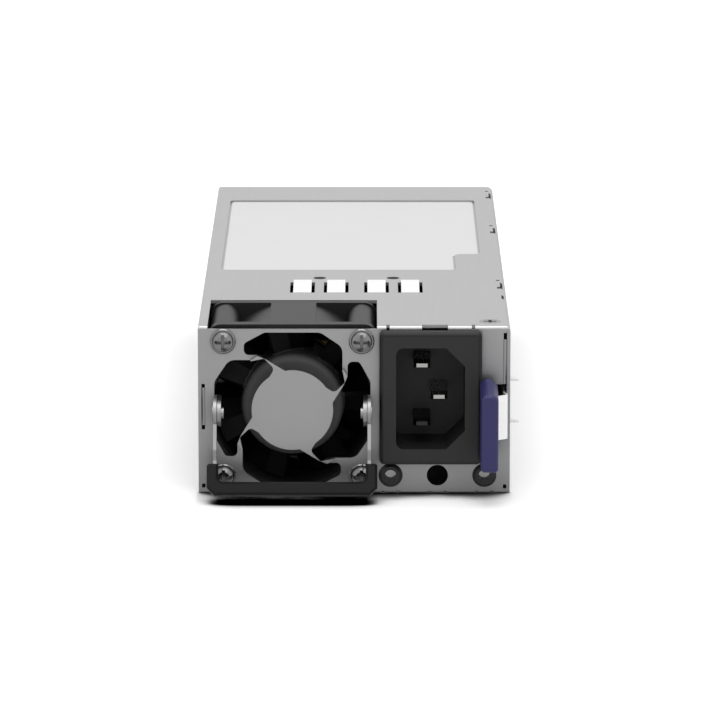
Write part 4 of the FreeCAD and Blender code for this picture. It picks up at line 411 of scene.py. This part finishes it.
# Painted shade at both ends of each fan screw's cross recess.
SHADED_RECESS_ENDS = [
    ((x + low * MM, None, z - 0.22 * MM), (x + high * MM, None, z + 0.18 * MM))
    for x in (FAN_X - SCREW_OFFSET, FAN_X + SCREW_OFFSET)
    for z in (FAN_Z - SCREW_OFFSET, FAN_Z + SCREW_OFFSET)
    for low, high in ((-1.95, -1.4), (1.4, 1.95))
]
INLET_LOW, INLET_HIGH = [
    [pick(corner[axis] for corner in nodes["inlet_housing"].bound_box) for axis in range(3)]
    for pick in (min, max)
]
# Width of the inlet's rim of painted shade, at the sides and at the top.
INLET_RIM = 0.9 * MM
INLET_RIM_TOP = 1.1 * MM
INLET_FACE = (
    (INLET_LOW[0] + INLET_RIM, None, None), (INLET_HIGH[0] - INLET_RIM, None, INLET_HIGH[2] - INLET_RIM_TOP),
)

# Nodes that look different from the rest of their slot.
SPECIAL = {
    # The inlet: its sloping rim darkened as painted shade.
    "inlet_housing": moulding("inlet_face_black", INLET_BLACK, 0.46, face=INLET_FACE),
    # The front panel: painted shade in its closed corners.
    "front_panel": sheet_metal("panel_steel", STEEL, 0.36, ALONG_X, corner=0.5),
    # The lid: a lighter copy of the case steel as painted light, with painted highlights on its tongue tops.
    "top_cover": sheet_metal("lid_steel", LID_STEEL_LIT, 0.36, ALONG_Y, highlight_boxes=TONGUE_TOP_HIGHLIGHTS),
    # The fan screws: painted shade at the ends of their cross recesses and in closed corners.
    "fan_screws": sheet_metal(
        "screw_nickel", colour(132, 132, 132), 0.17, EVEN, FINE_GRAIN, 1e-6, shade_boxes=SHADED_RECESS_ENDS, corner=0.5,
    ),
    # Strap and ears: the darker bail steel as painted shade, and painted shade in closed corners.
    "handle_strap": sheet_metal("strap_steel", BAIL_STEEL_SHADED, 0.36, ALONG_Z, corner=0.65),
    "handle_ears": sheet_metal("ear_steel", BAIL_STEEL_SHADED, 0.34, ALONG_Z, corner=0.65),
    "handle_rivets": sheet_metal("rivet_nickel", colour(150, 150, 150), 0.34, EVEN, FINE_GRAIN),
    # The rotor: a lit hub and shaded blades painted into one black plastic.
    "fan_rotor": rotor_moulding(
        "rotor_black", colour(80, 80, 81), colour(9, 9, 9), HUB_RADIUS + 0.1 * MM,
    ),
    # The lower, neutral pin: the blade nickel made much darker, as painted shade.
    "neutral_pin": sheet_metal("dull_blade", colour(58, 58, 57), 0.4, BLADE_ALONG_Y),
}


def dress_nodes():
    """Give every CAD node its own material, or else that of its slot."""
    for name, item in nodes.items():
        item.data.materials.clear()
        item.data.materials.append(SPECIAL.get(name, MATERIALS[SLOT_OF[name]]))


dress_nodes()


# Floor.
FLOOR_BOUNCE = 0.80              # colour to every ray but the camera's
FLOOR_SEEN = 1.17                # colour to the camera, so that the open floor renders white
FLOOR_GAP = 0.25 * MM            # below the case
FLOOR_REACH = 6.0
FRONT_HALF = 80 * MM             # half the width of the floor's piece in front of the case
FRONT_DEPTH = 50 * MM
FRONT_MARGIN = 2 * MM
SHADOW_HALF = 37.2 * MM          # half the width of the deep shadow, just past the case's sides
SHADOW_EDGE = 0.5 * MM
BAIL_EDGE = 1.5 * MM
OCCLUSION_SAMPLES = 48
GAP_STOPS = ((0.45, 0.0), (0.60, 0.12), (0.72, 0.55), (0.82, 0.82), (0.95, 1.0))


def floor_white(name, share_left=None):
    """Floor material; share_left, where given, adds nodes that say how much of the seen white is left."""
    made = Shader(name)
    bounce = made.add("ShaderNodeBsdfDiffuse", Color=grey(FLOOR_BOUNCE))
    seen = made.add("ShaderNodeBsdfDiffuse", Color=grey(FLOOR_SEEN))
    if share_left is not None:
        level = made.remap(share_left(made), 0.0, 1.0, 0.0, FLOOR_SEEN)
        made.join(level, seen.inputs["Color"])
    rays = made.add("ShaderNodeLightPath")
    either = made.choose(rays.outputs["Is Camera Ray"], bounce.outputs[0], seen.outputs[0])
    made.join(either, made.tree.nodes["Material Output"].inputs["Surface"])
    return made.material


def gap_share(made):
    """Painted shadow on the floor: share of the white left in the gap in front of the panel, and less of it
    below the bail's grip.
    """
    front = made.inside((-SHADOW_HALF, None, None), (SHADOW_HALF, PANEL_Y + SHADOW_EDGE, None), SHADOW_EDGE)
    near = made.openness(10 * MM, OCCLUSION_SAMPLES)
    wide = made.openness(25 * MM, OCCLUSION_SAMPLES)
    gap = made.ramp(near, [(position, grey(level)) for position, level in GAP_STOPS])
    bail = made.remap(wide, 0.54, 0.68)
    below = made.inside((FAN_X - BAIL_HALF, None, None), (FAN_X + BAIL_HALF, None, None), BAIL_EDGE)
    deep = made.combine("MULTIPLY", gap, made.blend(below, WHITE, bail))
    return made.blend(front, WHITE, deep)


def make_floor():
    """White floor just under the case, in nine pieces; the one in front of the case has the deep shadow."""
    across = (-FLOOR_REACH, -FRONT_HALF, FRONT_HALF, FLOOR_REACH)
    along = (-FLOOR_REACH, PANEL_Y - FRONT_DEPTH, PANEL_Y + FRONT_MARGIN, FLOOR_REACH)
    corners = [(x, y, 0) for y in along for x in across]
    row_step = len(across)
    squares = [
        (at, at + 1, at + row_step + 1, at + row_step)
        for row in range(len(along) - 1)
        for at in range(row * row_step, row * row_step + row_step - 1)
    ]
    data = bpy.data.meshes.new("floor")
    data.from_pydata(corners, [], squares)
    data.materials.append(floor_white("floor_white"))
    data.materials.append(floor_white("floor_white_front", gap_share))
    data.polygons[len(squares) // 2].material_index = 1
    floor = bpy.data.objects.new("floor", data)
    floor.location.z = -FLOOR_GAP
    bpy.context.scene.collection.objects.link(floor)


# World: the height of a direction, from -1 straight down to 1 straight up, and the level there.
MIRROR_LEVELS = ((-1.0, 0.76), (-0.02, 0.80), (0.12, 1.0), (1.0, 1.0))
FILL_LEVELS = ((-1.0, 0.17), (0.0, 0.26), (0.4, 0.52), (1.0, 0.86))


def make_world():
    """Surroundings graded by height for mirrored rays and for fill, on a plain white backdrop."""
    world = bpy.data.worlds.new("studio")
    bpy.context.scene.world = world
    world.use_nodes = True
    made = Graph(world.node_tree)
    made.tree.nodes.clear()
    height = made.remap(made.along_axes("Generated").outputs["Z"], -1.0, 1.0)
    graded = []
    for levels in (FILL_LEVELS, MIRROR_LEVELS):
        background = made.add("ShaderNodeBackground", Color=WHITE)
        stops = [((at + 1) / 2, grey(level)) for at, level in levels]
        made.join(made.ramp(height, stops), background.inputs["Strength"])
        graded.append(background.outputs[0])
    fill, mirrored = graded
    backdrop = made.add("ShaderNodeBackground", Color=WHITE, Strength=1.0)
    rays = made.add("ShaderNodeLightPath")
    sharp = made.combine("MAXIMUM", rays.outputs["Is Glossy Ray"], rays.outputs["Is Transmission Ray"])
    unseen = made.choose(sharp, fill, mirrored)
    both = made.choose(rays.outputs["Is Camera Ray"], unseen, backdrop.outputs[0])
    out = made.add("ShaderNodeOutputWorld")
    made.join(both, out.inputs["Surface"])


# Lamps.
LAMP_SIZE = 1.4
KEY_PLACE, KEY_POWER = (0, -0.5, 1.9), 13.5
FILL_PLACE, FILL_POWER = (0.25, -1.45, 1.2), 5.0


def make_lamp(name, place, power):
    """A soft square lamp aimed at the part."""
    data = bpy.data.lights.new(name, "AREA")
    data.shape = "SQUARE"
    data.size = LAMP_SIZE
    data.energy = power
    lamp = bpy.data.objects.new(name, data)
    lamp.location = place
    lamp.rotation_euler = (-Vector(place)).to_track_quat("-Z", "Y").to_euler()
    bpy.context.scene.collection.objects.link(lamp)


# Camera.
VIEW_AIM = Vector((1.375 * MM, PANEL_Y, 31.813 * MM))
VIEW_DISTANCE = 1256.9 * MM
VIEW_AZIMUTH = math.radians(0.052)
VIEW_ELEVATION = math.radians(12.015)
VIEW_LENS = 267.2
SENSOR_WIDTH = 36.0
VIEW_DEPTH = 50.0


def make_camera():
    """Long lens in front of the panel and a little above it."""
    data = bpy.data.cameras.new("camera")
    data.lens = VIEW_LENS
    data.sensor_width = SENSOR_WIDTH
    data.clip_end = VIEW_DEPTH
    camera = bpy.data.objects.new("camera", data)
    across = math.cos(VIEW_ELEVATION)
    back = Vector((
        math.sin(VIEW_AZIMUTH) * across,
        -math.cos(VIEW_AZIMUTH) * across,
        math.sin(VIEW_ELEVATION),
    ))
    camera.location = VIEW_AIM + back * VIEW_DISTANCE
    camera.rotation_euler = (-back).to_track_quat("-Z", "Y").to_euler()
    bpy.context.scene.collection.objects.link(camera)
    bpy.context.scene.camera = camera


make_floor()
make_world()
make_lamp("key", KEY_PLACE, KEY_POWER)
make_lamp("fill", FILL_PLACE, FILL_POWER)
make_camera()
bpy.context.scene.view_settings.view_transform = "Standard"
